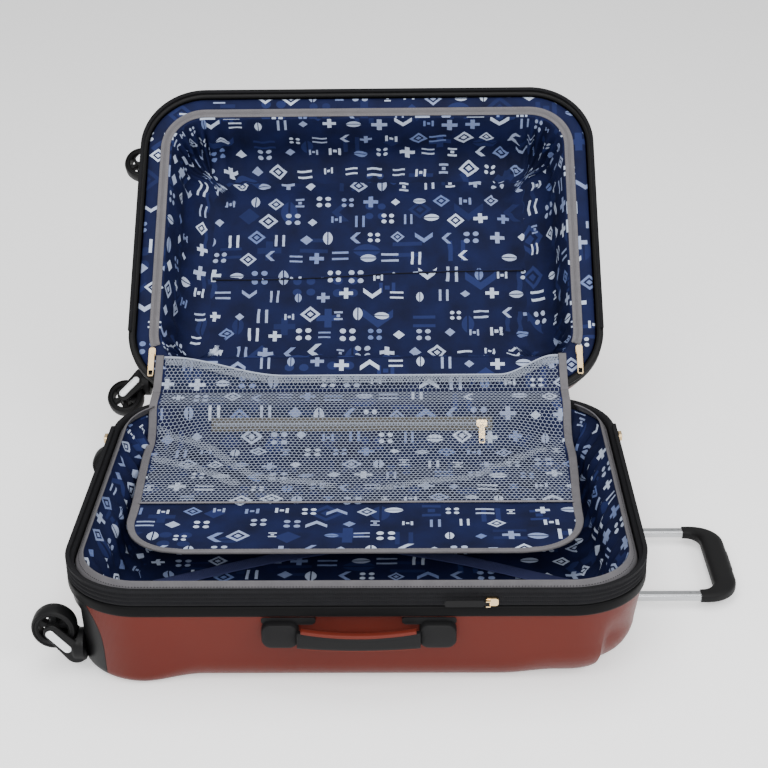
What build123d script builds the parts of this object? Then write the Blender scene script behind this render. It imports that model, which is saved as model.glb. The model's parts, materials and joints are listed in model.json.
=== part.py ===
"""Open hard shell suitcase on four swivel wheels, lying on its back with the lid swung past upright.

Millimetres. +Z is up and the floor is Z = 0. The wheels are at -X, the trolley handle at +X, the lid
hinge at +Y and the carry handle at -Y. The origin is the middle of the flat back of the base shell.
"""
import os
from math import atan2, cos, degrees, hypot, radians, sin

from build123d import *

# Driving dimensions of the body
rim_length = 646.0
rim_width = 470.0
rim_corner = 90.0
base_depth = 132.0
lid_depth = 118.0
open_angle = 138.0
shell_wall = 2.8
shell_taper = 13.0
shell_edge = 44.0
fit = 0.2
running_fit = 0.05

# The rim stack, each level a distance from the parting plane of the two halves
zip_start = 0.4
zip_reach = 4.6
zip_thick = 2.4
zip_coil = 1.6
zip_inset = 1.0
gusset_start = 5.2
gusset_height = 15.6
band_start = 21.0
band_height = 14.0
lid_band_height = 16.0
rim_thick = 9.0
shell_inset = 3.0
shell_lap = 5.0
rim_ridge = 1.4
binding_inset = 10.0
binding_lean = 7.0
binding_drop = 8.0
binding_thick = 1.6
binding_top = 1.4

# Linings
lining_thick = 1.5
lining_level = 14.0
base_lining_top = 14.0
base_lining_bottom = 48.0
base_floor = 26.0
lid_lining_top = 42.0
lid_lining_bottom = 54.0
lid_lining_floor = 8.0
lining_edge = 26.0
flange_inset = 10.5
flange_level = 10.0
divider_tape_inset = 28.0
divider_tape_width = 13.0
divider_tape_thick = 1.4

# Lid hinge: a textile web rolled round a cord on the hinge line
hinge_cord = 2.4
hinge_outset = 3.0
hinge_web = 1.2
root_flap_end = 55.0
cord_gap = 0.35
flap_lift = 0.9

# Divider sheet over the back rim and down into the base, each fold an offset from the hinge line
divider_side_room = 97.0
divider_shift = -6.0
divider_corner = 78.0
divider_thick = 1.8
divider_drop = ((-35.0, -1.0), (-62.0, -44.0), (-118.0, -47.0), (-330.0, -42.0))
divider_fold_radii = (16.0, 22.0, 60.0)
divider_edge_width = 4.0
divider_edge_thick = 3.4
mesh_drop = ((-14.0, 0.9), (-41.0, 0.9), (-70.0, -30.0), (-126.0, -35.5), (-218.0, -42.4))
mesh_fold_radii = (14.0, 26.0, 70.0)
mesh_thick = 1.0
mesh_side = 7.0
pocket_zip_left = -200.0
pocket_zip_right = 168.0
pocket_zip_width = 18.0
pocket_zip_thick = 1.2
pocket_pull = 19.0

# Casters
swivel_inset = 49.0
swivel_back = 30.0
housing_face_inset = 21.0
pocket_gap = 5.0
housing_wall = 4.0
housing_reach = 58.0
housing_run = 131.0
wheel_diameter = 50.0
wheel_width = 20.0
wheel_round = 5.0
wheel_dish = 3.0
trail = 24.0
crown_gap = 9.0
axle_radius = 3.0
cheek_gap = 1.2
cheek_thick = 4.5
cheek_radius = 9.5
crown_radius = 17.0
crown_height = 6.0
crown_lift = 0.5
stem_radius = 5.0
stem_length = 20.0
boss_radius = 13.0
insert_thick = 1.0
insert_width = 11.0
insert_length = 25.0

# Trolley handle
tube_spacing = 142.0
tube_level = 14.0
inner_tube = (12.0, 9.0)
middle_tube = (15.4, 12.4)
guide_tube = (19.0, 16.0)
tube_corner = 3.0
tube_slide = 0.3
tube_wall = 1.35
guide_start_inset = 98.0
guide_end_inset = 53.0
middle_start_gap = 21.0
middle_end_inset = 21.0
inner_start_gap = 90.0
handle_out = 80.0
socket_deep = 12.0
grip_length = 44.0
grip_bar = 23.0
grip_leg = 26.0
grip_thick = 19.0
grip_corner = 30.0
grip_round = 7.0
button_length = 44.0
button_width = 9.0
button_proud = 3.0
button_deep = 8.0
button_travel = 3.0
bezel_half = 104.0
bezel_top = 34.0
bezel_inset = 61.0
bracket_length = 12.0
pin_radius = 1.6
pin_pitch = 8.0

# Carry handle on the front wall
handle_centre = 5.0
handle_span = 206.0
pad_width = 38.0
pad_margin = 3.0
pad_height = 34.0
pad_proud = 9.0
pad_round = 2.2
handle_height = 18.0
handle_thick = 8.0
handle_bow = 12.0
handle_drop = 13.0
handle_gap = 0.4
accent_height = 3.5
trunnion_radius = 3.0
trunnion_length = 12.0
recess_deep = 14.0
recess_over = 1.0
recess_under = 10.0
recess_side = 4.0
recess_round = 12.0

# Slide fasteners
slider_length = 14.0
slider_width = 9.0
slider_height = 4.0
flat_slider_height = 2.4
slider_pull = 32.0
pull_width = 8.0
pull_thick = 1.4
pull_neck = 4.0
pull_barrel = 4.2
barrel_radius = 1.7
bail_gap = 0.4
bail_radius = 0.9
bail_lift = 2.3
bail_at = -4.0
ear_thick = 1.2
slider_seat = 0.3
expansion_at = 147.0
expansion_pull = 42.0
main_slider_inset = 115.0

# Tie straps on the base floor
strap_width = 14.0
strap_thick = 1.4
buckle_at = (2.0, 26.0)
buckle_size = (46.0, 30.0, 7.0)
strap_gap = 2.0
strap_front_margins = (5.0, 3.0, 95.0)
strap_rear_margins = (17.0, 13.0, 43.0)

# The two halves, each on its own parting plane, with the plane's Z pointing into the half
half_length = rim_length / 2
half_width = rim_width / 2
divider_width = rim_length - divider_side_room
divider_room = divider_width + 4 * divider_edge_width + 2 * abs(divider_shift)
hinge_y = half_width + hinge_outset
hinge_z = base_depth
swing = radians(open_angle)
lid_up = Vector(0, -cos(swing), sin(swing))
lid_in = Vector(0, sin(swing), cos(swing))
hinge_point = Vector(0, hinge_y, hinge_z)
base_half = Plane(origin=(0, 0, hinge_z), x_dir=(1, 0, 0), z_dir=(0, 0, -1))
lid_half = Plane(origin=hinge_point + lid_up * hinge_y, x_dir=(1, 0, 0), z_dir=lid_in)

# Places that follow from the sizes above
swivel_side = half_width - swivel_inset
housing_face = housing_face_inset - half_length
housing_end = half_width - housing_run
axle_reach = wheel_diameter / 2 + crown_gap
pocket_radius = trail + wheel_diameter / 2 + pocket_gap
guide_start = guide_start_inset - half_length
guide_end = half_length - guide_end_inset
middle_start = guide_start + middle_start_gap
middle_end = half_length - middle_end_inset
inner_start = middle_start + inner_start_gap
grip_start = half_length + handle_out
grip_end = grip_start + grip_length
tube_end = grip_start + socket_deep
bezel_start = half_length - bezel_inset
pad_top = base_depth - band_start - band_height - pad_margin
pad_bottom = pad_top - pad_height
recess_top = pad_top + recess_over
recess_bottom = pad_bottom - recess_under
main_slider_at = half_width - main_slider_inset
pocket_shoulder = swivel_back + (pocket_radius + housing_wall) * cos(radians(30))
lining_top_height = base_depth - lining_level
shoulder_share = (lining_top_height - pocket_shoulder) / (lining_top_height - base_floor)
shoulder_inset = housing_face_inset + housing_wall + fit
clear_inset = (shoulder_inset - base_lining_bottom * shoulder_share) / (1 - shoulder_share)
base_lining_rim = max(base_lining_top, clear_inset)
floor_x = half_length - base_lining_bottom - lining_edge
floor_y = half_width - base_lining_bottom - lining_edge
strap_ends = (
    (strap_front_margins[0] - floor_x, strap_front_margins[2] - floor_y),
    (floor_x - strap_front_margins[1], strap_front_margins[2] - floor_y),
    (strap_rear_margins[0] - floor_x, floor_y - strap_rear_margins[2]),
    (floor_x - strap_rear_margins[1], floor_y - strap_rear_margins[2]),
)

os.makedirs("parts", exist_ok=True)


def save(part, name):
    part.label = name
    export_step(part, f"parts/{name}.step")
    return part


def outline(inset):
    """Rim outline drawn in by a distance on every side."""
    with BuildSketch(mode=Mode.PRIVATE) as shape:
        RectangleRounded(rim_length - 2 * inset, rim_width - 2 * inset, rim_corner - inset)
    return shape.sketch


def rim_ring(plane, start, height, outer, inner):
    """Straight ring between two insets of the rim outline."""
    with BuildPart(mode=Mode.PRIVATE) as ring:
        with BuildSketch(plane.offset(start)):
            add(outline(outer))
            add(outline(inner), mode=Mode.SUBTRACT)
        extrude(amount=height)
    return ring.part


def tub(plane, start, depth, top_inset, bottom_inset, edge):
    """Solid tray that narrows with depth and has a rounded floor edge."""
    with BuildPart(mode=Mode.PRIVATE) as tray:
        with BuildSketch(plane.offset(start)):
            add(outline(top_inset))
        with BuildSketch(plane.offset(start + depth)):
            add(outline(bottom_inset))
        loft(ruled=True)
        floor_face = tray.faces().sort_by(Axis(plane.origin, plane.z_dir))[-1]
        fillet(floor_face.edges(), edge)
    return tray.part


def shell_body(plane, start, depth, grow):
    """Outside of a moulded half, or its inside where grow is minus the wall."""
    return tub(
        plane,
        start,
        depth - start + grow,
        shell_inset - grow,
        shell_inset + shell_taper - grow,
        shell_edge + grow,
    )


def corner_block(plane, side, grow):
    """Block that a wheel housing fills at one corner of the wheel end."""
    reach = half_length - housing_reach
    with BuildPart(mode=Mode.PRIVATE) as block:
        with BuildSketch(plane.offset(gusset_start)):
            with Locations((-reach - half_length + grow, side * (housing_end + half_width - grow))):
                Rectangle(rim_length, rim_width)
        extrude(amount=base_depth + lid_depth)
    return block.part


def zip_half(plane, hinge_sign):
    """Tape and coil of the closing zip on three sides, bare along the hinge."""
    with BuildPart(mode=Mode.PRIVATE) as half:
        add(rim_ring(plane, zip_start, zip_reach, zip_inset, zip_inset + zip_thick))
        coil_in = zip_inset + zip_thick + zip_coil
        add(rim_ring(plane, zip_start, 2 * zip_coil, zip_inset - zip_coil / 2, coil_in))
        with BuildSketch(plane):
            with Locations((0, hinge_sign * half_width)):
                Rectangle(2 * rim_length, 2 * rim_corner)
        extrude(amount=base_depth, mode=Mode.SUBTRACT)
    return half.part


def wheel_pocket(plane, depth, side, grow):
    """Round pocket that the swivelling wheel turns in."""
    with BuildPart(mode=Mode.PRIVATE) as pocket:
        swivel = plane.from_local_coords((housing_face + grow, side * swivel_side, depth - swivel_back))
        with BuildSketch(Plane(origin=swivel, x_dir=plane.z_dir, z_dir=(-1, 0, 0))):
            Circle(pocket_radius + grow)
        extrude(amount=rim_length / 4)
    return pocket.part


def wheel_housing(plane, start, depth, side):
    """Corner cap with the wheel pocket and the boss that the caster stem turns in."""
    swivel = plane.from_local_coords((housing_face, side * swivel_side, depth - swivel_back))
    boss_plane = Plane(origin=swivel, x_dir=plane.z_dir, z_dir=(1, 0, 0))
    with BuildPart(mode=Mode.PRIVATE) as hollow:
        add(shell_body(plane, start, depth, -housing_wall))
        add(wheel_pocket(plane, depth, side, housing_wall), mode=Mode.SUBTRACT)
    with BuildPart(mode=Mode.PRIVATE) as housing:
        add(shell_body(plane, start, depth, 0))
        add(corner_block(plane, side, -fit), mode=Mode.INTERSECT)
        add(wheel_pocket(plane, depth, side, 0), mode=Mode.SUBTRACT)
        add(hollow.part, mode=Mode.SUBTRACT)
        with BuildSketch(boss_plane):
            Circle(boss_radius)
        extrude(amount=stem_length)
        with BuildSketch(boss_plane):
            Circle(stem_radius + running_fit)
        extrude(amount=stem_length + housing_wall, mode=Mode.SUBTRACT)
    return housing.part


def caster_planes(plane, depth, side, trail_dir):
    """Swivel plane, facing out along the stem, and the plane that the wheel turns in."""
    swivel = plane.from_local_coords((housing_face, side * swivel_side, depth - swivel_back))
    swivel_plane = Plane(origin=swivel, x_dir=trail_dir, z_dir=(-1, 0, 0))
    wheel_plane = Plane(origin=swivel, x_dir=(-1, 0, 0), z_dir=swivel_plane.y_dir)
    return swivel_plane, wheel_plane


def zip_slider(plane, height, seat, body):
    """Slider body on a zip, with two ears and the bail bar between them."""
    ear_x = pull_barrel / 2 + bail_gap + ear_thick / 2
    bar_z = seat + height + bail_lift
    with BuildPart(mode=Mode.PRIVATE) as slider:
        with BuildSketch(plane.offset(seat)):
            RectangleRounded(body[0], body[1], slider_width / 3)
        extrude(amount=height)
        with BuildSketch(plane.offset(seat + height)):
            with Locations((-ear_x, bail_at), (ear_x, bail_at)):
                Rectangle(ear_thick, 2 * bail_lift)
        extrude(amount=bail_lift + 2 * bail_radius)
        bar_start = plane.from_local_coords((-ear_x, bail_at, bar_z))
        with BuildSketch(Plane(origin=bar_start, x_dir=plane.y_dir, z_dir=plane.x_dir)):
            Circle(bail_radius)
        extrude(amount=2 * ear_x)
    return slider.part


def zip_pull(plane, height, seat, length):
    """Flat pull with a barrel that turns on the bail bar."""
    bar_z = seat + height + bail_lift
    eye = plane.from_local_coords((-pull_barrel / 2, bail_at, bar_z))
    eye_plane = Plane(origin=eye, x_dir=plane.y_dir, z_dir=plane.x_dir)
    with BuildPart(mode=Mode.PRIVATE) as pull:
        with BuildSketch(plane.offset(bar_z - pull_thick / 2)):
            with Locations((0, bail_at - pull_neck - length / 2)):
                RectangleRounded(pull_width, length, pull_width / 3)
            with Locations((0, bail_at - pull_neck / 2 - bail_radius)):
                Rectangle(pull_barrel, pull_neck)
        extrude(amount=pull_thick)
        with BuildSketch(eye_plane):
            Circle(barrel_radius)
        extrude(amount=pull_barrel)
        with BuildSketch(eye_plane):
            Circle(bail_radius + running_fit)
        extrude(amount=pull_barrel, mode=Mode.SUBTRACT)
    return pull.part


# Base half: shell, rim stack and linings
base_shell_start = band_start + band_height - shell_lap
carry_plane = Plane(origin=(handle_centre, -half_width + shell_inset, 0), x_dir=(1, 0, 0), z_dir=(0, -1, 0))
bezel_box_centre = (bezel_start + rim_length / 4, 0, 0)
grip_span = handle_span - 2 * pad_width
recess_width = grip_span + 2 * recess_side
recess_height = recess_top - recess_bottom
recess_level = (recess_top + recess_bottom) / 2

with BuildPart() as recess_cup:
    with BuildSketch(carry_plane.offset(-recess_deep - shell_wall)):
        with Locations((0, recess_level)):
            RectangleRounded(recess_width + 2 * shell_wall, recess_height + 2 * shell_wall, recess_round)
    extrude(amount=recess_deep + shell_wall)
    add(shell_body(base_half, base_shell_start, base_depth, 0), mode=Mode.INTERSECT)

with BuildPart() as base_shell:
    add(shell_body(base_half, base_shell_start, base_depth, 0))
    add(shell_body(base_half, base_shell_start, base_depth, -shell_wall), mode=Mode.SUBTRACT)
    for side in (-1, 1):
        add(corner_block(base_half, side, 0), mode=Mode.SUBTRACT)
    with Locations(bezel_box_centre):
        Box(rim_length / 2, 2 * bezel_half, 2 * bezel_top, mode=Mode.SUBTRACT)
    add(recess_cup.part)
    with BuildSketch(carry_plane.offset(-recess_deep)):
        with Locations((0, recess_level)):
            RectangleRounded(recess_width, recess_height, recess_round - shell_wall)
    extrude(amount=2 * recess_deep, mode=Mode.SUBTRACT)
save(base_shell.part, "base_shell")

with BuildPart() as handle_bezel:
    add(shell_body(base_half, base_shell_start, base_depth, 0))
    with Locations((bezel_start + fit + rim_length / 4, 0, 0)):
        Box(rim_length / 2, 2 * (bezel_half - fit), 2 * (bezel_top - fit), mode=Mode.INTERSECT)
    add(shell_body(base_half, base_shell_start, base_depth, -housing_wall), mode=Mode.SUBTRACT)
    with BuildSketch(Plane.YZ.offset(bezel_start)):
        with Locations((-tube_spacing / 2, tube_level), (tube_spacing / 2, tube_level)):
            RectangleRounded(middle_tube[0] + 2 * tube_slide, middle_tube[1] + 2 * tube_slide, tube_corner)
    extrude(amount=rim_length / 4, mode=Mode.SUBTRACT)
save(handle_bezel.part, "handle_bezel")

with BuildPart() as base_rim_band:
    add(rim_ring(base_half, band_start, band_height - shell_lap, 0, rim_thick))
    add(rim_ring(base_half, base_shell_start, shell_lap, 0, shell_inset - fit))
save(base_rim_band.part, "base_rim_band")

with BuildPart() as expansion_gusset:
    add(rim_ring(base_half, gusset_start, gusset_height, rim_ridge, rim_thick))
    ridge_pitch = gusset_height / 3
    for step in range(3):
        ridge_start = gusset_start + ridge_pitch * (step + 0.25)
        add(rim_ring(base_half, ridge_start, ridge_pitch / 2, 0, rim_ridge + zip_coil))
save(expansion_gusset.part, "expansion_gusset")

with BuildPart() as base_zip:
    add(zip_half(base_half, -1))
save(base_zip.part, "base_zip")

with BuildPart() as base_binding:
    with BuildSketch(base_half.offset(gusset_start + binding_drop)):
        add(outline(binding_inset))
    with BuildSketch(base_half.offset(binding_top)):
        add(outline(binding_inset + binding_lean))
    loft(ruled=True)
    with BuildSketch(base_half.offset(gusset_start + binding_drop)):
        add(outline(binding_inset + binding_thick))
    with BuildSketch(base_half.offset(binding_top)):
        add(outline(binding_inset + binding_lean + binding_thick))
    loft(ruled=True, mode=Mode.SUBTRACT)
    with Locations((0, rim_width, hinge_z)):
        Box(divider_room, rim_width + rim_corner, base_depth, mode=Mode.SUBTRACT)
save(base_binding.part, "base_binding")

base_lining_depth = hinge_z - base_floor - lining_level
with BuildPart() as base_lining:
    add(tub(base_half, lining_level, base_lining_depth, base_lining_rim, base_lining_bottom, lining_edge))
    add(
        tub(
            base_half,
            lining_level,
            base_lining_depth - lining_thick,
            base_lining_rim + lining_thick,
            base_lining_bottom + lining_thick,
            lining_edge - lining_thick,
        ),
        mode=Mode.SUBTRACT,
    )
    add(rim_ring(base_half, lining_level, lining_thick, rim_thick + fit, base_lining_rim + lining_thick))
save(base_lining.part, "base_lining")

for name, side in (("base_wheel_housing_front", 1), ("base_wheel_housing_rear", -1)):
    with BuildPart() as base_wheel_housing:
        add(wheel_housing(base_half, base_shell_start, base_depth, side))
    save(base_wheel_housing.part, name)

with BuildPart() as hinge_cord_web:
    with BuildSketch(Plane.YZ):
        with Locations((hinge_y, hinge_z)):
            Circle(hinge_cord)
        with BuildLine():
            Polyline(
                (half_width + fit, hinge_z - band_start),
                (half_width + fit + hinge_web, hinge_z - band_start),
                (hinge_y + hinge_web / 2, hinge_z),
                (hinge_y - hinge_web / 2, hinge_z),
                (half_width + fit, hinge_z - gusset_start),
                close=True,
            )
        make_face()
    extrude(amount=half_length - rim_corner, both=True)
save(hinge_cord_web.part, "hinge_cord_web")

# Tie straps, crossing under a flat buckle on the base floor
strap_level = base_floor + lining_thick + fit
with BuildPart() as strap_buckle:
    with BuildSketch(Plane.XY.offset(strap_level)):
        with Locations(buckle_at):
            RectangleRounded(buckle_size[0], buckle_size[1], buckle_size[1] / 4)
    extrude(amount=buckle_size[2])
    fillet(strap_buckle.faces().sort_by(Axis.Z)[-1].edges(), buckle_size[2] / 4)
save(strap_buckle.part, "strap_buckle")

with BuildPart() as tie_straps:
    for end in strap_ends:
        # each strap leaves the buckle's end at its own slot, clear of the strap beside it
        across = end[0] - buckle_at[0]
        rise = end[1] - buckle_at[1]
        slot_x = buckle_size[0] / 2 * across / abs(across)
        slot_room = (strap_width + strap_gap) / 2 * hypot(across, rise) / abs(across)
        slot_y = max(abs(rise) * abs(slot_x / across), slot_room) * rise / abs(rise)
        turn = atan2(rise - slot_y, across - slot_x)
        run = hypot(across - slot_x, rise - slot_y)
        tuck = buckle_size[0] / 4
        middle = (run - tuck) / 2
        strap_middle = (
            buckle_at[0] + slot_x + middle * cos(turn),
            buckle_at[1] + slot_y + middle * sin(turn),
        )
        with BuildSketch(Plane.XY.offset(strap_level)):
            with Locations(strap_middle):
                Rectangle(run + tuck, strap_width, rotation=degrees(turn))
        extrude(amount=strap_thick)
    with BuildSketch(Plane.XY.offset(strap_level)):
        with Locations(buckle_at):
            RectangleRounded(buckle_size[0] + fit, buckle_size[1] + fit, buckle_size[1] / 4)
    extrude(amount=strap_thick, mode=Mode.SUBTRACT)
save(tie_straps.part, "tie_straps")

# Trolley: guide tubes in the base, middle and inner tubes that telescope, grip and release button
tube_spots = ((-tube_spacing / 2, tube_level), (tube_spacing / 2, tube_level))
tube_runs = (
    ("guide_tubes", guide_tube, middle_tube, guide_start, guide_end),
    ("middle_tubes", middle_tube, inner_tube, middle_start, middle_end),
)
for name, outer, inner, start, end in tube_runs:
    with BuildPart() as tube_pair:
        with BuildSketch(Plane.YZ.offset(start)):
            with Locations(*tube_spots):
                RectangleRounded(outer[0], outer[1], tube_corner)
            with Locations(*tube_spots):
                RectangleRounded(
                    inner[0] + 2 * tube_slide,
                    inner[1] + 2 * tube_slide,
                    tube_corner - tube_wall / 2,
                    mode=Mode.SUBTRACT,
                )
        extrude(amount=end - start)
    save(tube_pair.part, name)

with BuildPart() as guide_bracket:
    bracket_floor = shell_wall + fit
    bracket_top = tube_level + guide_tube[1] / 2
    bracket_size = (bracket_length, tube_spacing + 2 * guide_tube[0], bracket_top - bracket_floor)
    with Locations((guide_start - bracket_size[0] / 2, 0, bracket_floor + bracket_size[2] / 2)):
        Box(*bracket_size)
    fillet(guide_bracket.edges().filter_by(Axis.Z), bracket_size[0] / 4)
save(guide_bracket.part, "guide_bracket")

with BuildPart() as inner_tubes:
    with BuildSketch(Plane.YZ.offset(inner_start)):
        with Locations(*tube_spots):
            RectangleRounded(inner_tube[0], inner_tube[1], tube_corner)
        with Locations(*tube_spots):
            RectangleRounded(
                inner_tube[0] - 2 * tube_wall,
                inner_tube[1] - 2 * tube_wall,
                tube_corner - tube_wall,
                mode=Mode.SUBTRACT,
            )
    extrude(amount=tube_end - inner_start)
save(inner_tubes.part, "inner_tubes")

grip_half = tube_spacing / 2 + grip_leg / 2
button_plane = Plane(origin=(grip_end, 0, tube_level), x_dir=(0, 1, 0), z_dir=(1, 0, 0))
with BuildPart() as trolley_grip:
    with BuildSketch(Plane.XY.offset(tube_level - grip_thick / 2)):
        with Locations(((grip_start + grip_end) / 2 - grip_corner / 2, 0)):
            RectangleRounded(grip_end - grip_start + grip_corner, 2 * grip_half, grip_corner)
        with Locations((grip_end - grip_bar - rim_length / 2, 0)):
            Rectangle(rim_length, 2 * (grip_half - grip_leg), mode=Mode.SUBTRACT)
        with Locations((grip_start - rim_length / 2, 0)):
            Rectangle(rim_length, 4 * grip_half, mode=Mode.SUBTRACT)
    extrude(amount=grip_thick)
    fillet(trolley_grip.edges().filter_by(Plane.XY), grip_round)
    with BuildSketch(Plane.YZ.offset(grip_start)):
        with Locations(*tube_spots):
            RectangleRounded(inner_tube[0] + fit, inner_tube[1] + fit, tube_corner)
    extrude(amount=tube_end - grip_start + fit, mode=Mode.SUBTRACT)
    with BuildSketch(button_plane.offset(-button_deep)):
        RectangleRounded(button_length, button_width, button_width / 3)
    extrude(amount=2 * button_deep, mode=Mode.SUBTRACT)
save(trolley_grip.part, "trolley_grip")

with BuildPart() as release_button:
    with BuildSketch(button_plane.offset(button_travel + running_fit - button_deep)):
        RectangleRounded(button_length - 4 * running_fit, button_width - 4 * running_fit, button_width / 3)
    extrude(amount=button_deep + button_proud - button_travel)
    fillet(release_button.faces().sort_by(Axis.X)[-1].edges(), button_proud / 4)
save(release_button.part, "release_button")

with BuildPart() as grip_pins:
    with BuildSketch(Plane.XY.offset(tube_level + inner_tube[1] / 2)):
        for spot, level in tube_spots:
            with Locations((grip_start - pin_pitch / 2, spot), (grip_start - 3 * pin_pitch / 2, spot)):
                Circle(pin_radius)
    extrude(amount=pin_radius / 8)
save(grip_pins.part, "grip_pins")

# Carry handle: two end pads on the front wall and a bowed grip that swings out on trunnions
pad_centre = (handle_span - pad_width) / 2
pad_level = (pad_top + pad_bottom) / 2
carry_axis_y = carry_plane.origin.Y - pad_proud / 2
carry_axis_z = pad_bottom + handle_height + handle_drop / 2
with BuildPart() as carry_pads:
    with BuildSketch(carry_plane.offset(-shell_taper)):
        with Locations((-pad_centre, pad_level), (pad_centre, pad_level)):
            RectangleRounded(pad_width, pad_top - pad_bottom, pad_width / 5)
    extrude(amount=shell_taper + pad_proud)
    fillet(carry_pads.faces().sort_by(Axis.Y)[:2].edges(), pad_round)
    add(shell_body(base_half, base_shell_start, base_depth, fit), mode=Mode.SUBTRACT)
    with BuildSketch(Plane.YZ.offset(handle_centre - grip_span / 2 - trunnion_length - handle_gap)):
        with Locations((carry_axis_y, carry_axis_z)):
            Circle(trunnion_radius + running_fit)
    extrude(amount=grip_span + 2 * (trunnion_length + handle_gap), mode=Mode.SUBTRACT)
save(carry_pads.part, "carry_pads")


def bowed_band():
    """Plan of the carry grip, bowed away from the wall."""
    reach = grip_span / 2 - handle_gap
    back = carry_axis_y + handle_thick / 2
    front = carry_axis_y - handle_thick / 2
    with BuildSketch(mode=Mode.PRIVATE) as band:
        with BuildLine():
            right = (handle_centre + reach, back)
            left = (handle_centre - reach, back)
            ThreePointArc(left, (handle_centre, back - handle_bow), right)
            Line(right, (right[0], front))
            ThreePointArc((right[0], front), (handle_centre, front - handle_bow), (left[0], front))
            Line((left[0], front), left)
        make_face()
    return band.sketch


with BuildPart() as carry_grip:
    with BuildSketch(Plane.XY.offset(carry_axis_z - handle_drop)):
        add(bowed_band())
    extrude(amount=handle_height)
    with BuildSketch(Plane.YZ.offset(handle_centre - grip_span / 2 - trunnion_length)):
        with Locations((carry_axis_y, carry_axis_z)):
            Circle(trunnion_radius)
    extrude(amount=trunnion_length + 2 * handle_gap)
    with BuildSketch(Plane.YZ.offset(handle_centre + grip_span / 2 - 2 * handle_gap)):
        with Locations((carry_axis_y, carry_axis_z)):
            Circle(trunnion_radius)
    extrude(amount=trunnion_length + 2 * handle_gap)
save(carry_grip.part, "carry_grip")

with BuildPart() as carry_accent:
    with BuildSketch(Plane.XY.offset(carry_axis_z - handle_drop + handle_height)):
        add(bowed_band())
    extrude(amount=accent_height)
save(carry_accent.part, "carry_accent")

# Lid half
lid_shell_start = gusset_start + lid_band_height - shell_lap
with BuildPart() as lid_shell:
    add(shell_body(lid_half, lid_shell_start, lid_depth, 0))
    add(shell_body(lid_half, lid_shell_start, lid_depth, -shell_wall), mode=Mode.SUBTRACT)
    for side in (-1, 1):
        add(corner_block(lid_half, side, 0), mode=Mode.SUBTRACT)
save(lid_shell.part, "lid_shell")

with BuildPart() as lid_rim_band:
    add(rim_ring(lid_half, gusset_start, lid_band_height - shell_lap, rim_ridge, rim_thick))
    add(rim_ring(lid_half, lid_shell_start, shell_lap, 0, shell_inset - fit))
    add(rim_ring(lid_half, gusset_start, rim_ridge * 3, 0, rim_thick))
save(lid_rim_band.part, "lid_rim_band")

with BuildPart() as lid_zip:
    add(zip_half(lid_half, 1))
save(lid_zip.part, "lid_zip")

lid_lining_depth = lid_depth - lid_lining_floor - flange_level
with BuildPart() as lid_lining:
    add(tub(lid_half, flange_level, lid_lining_depth, lid_lining_top, lid_lining_bottom, lining_edge))
    add(rim_ring(lid_half, flange_level, lining_thick, flange_inset, lid_lining_top + lining_thick))
    add(
        tub(
            lid_half,
            flange_level,
            lid_lining_depth - lining_thick,
            lid_lining_top + lining_thick,
            lid_lining_bottom + lining_thick,
            lining_edge - lining_thick,
        ),
        mode=Mode.SUBTRACT,
    )
save(lid_lining.part, "lid_lining")

divider_tape_level = flange_level - fit / 2 - divider_tape_thick
divider_tape_end = hinge_y - root_flap_end
with BuildPart() as divider_tape:
    tape_inner = divider_tape_inset + divider_tape_width
    add(rim_ring(lid_half, divider_tape_level, divider_tape_thick, divider_tape_inset, tape_inner))
    with BuildSketch(lid_half):
        with Locations((0, divider_tape_end + half_width)):
            Rectangle(2 * rim_length, rim_width)
    extrude(amount=lid_depth, mode=Mode.SUBTRACT)
save(divider_tape.part, "divider_tape")

for name, side in (("lid_wheel_housing_lower", 1), ("lid_wheel_housing_upper", -1)):
    with BuildPart() as lid_wheel_housing:
        add(wheel_housing(lid_half, lid_shell_start, lid_depth, side))
    save(lid_wheel_housing.part, name)

# Root flap: the sewn edge of the divider, from the divider tape ends down to the hinge cord
flap_side = Plane(origin=lid_half.origin, x_dir=lid_half.y_dir, z_dir=lid_half.x_dir)
with BuildPart() as divider_root_flap:
    with BuildSketch(flap_side):
        with BuildLine():
            Polyline(
                (hinge_y - hinge_cord - cord_gap, flap_lift),
                (hinge_y - hinge_cord - cord_gap, flap_lift + hinge_web),
                (divider_tape_end + fit, flange_level - fit),
                (divider_tape_end + fit, flange_level - fit - hinge_web),
                close=True,
            )
        make_face()
    extrude(amount=divider_width / 2, both=True)
save(divider_root_flap.part, "divider_root_flap")

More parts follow.
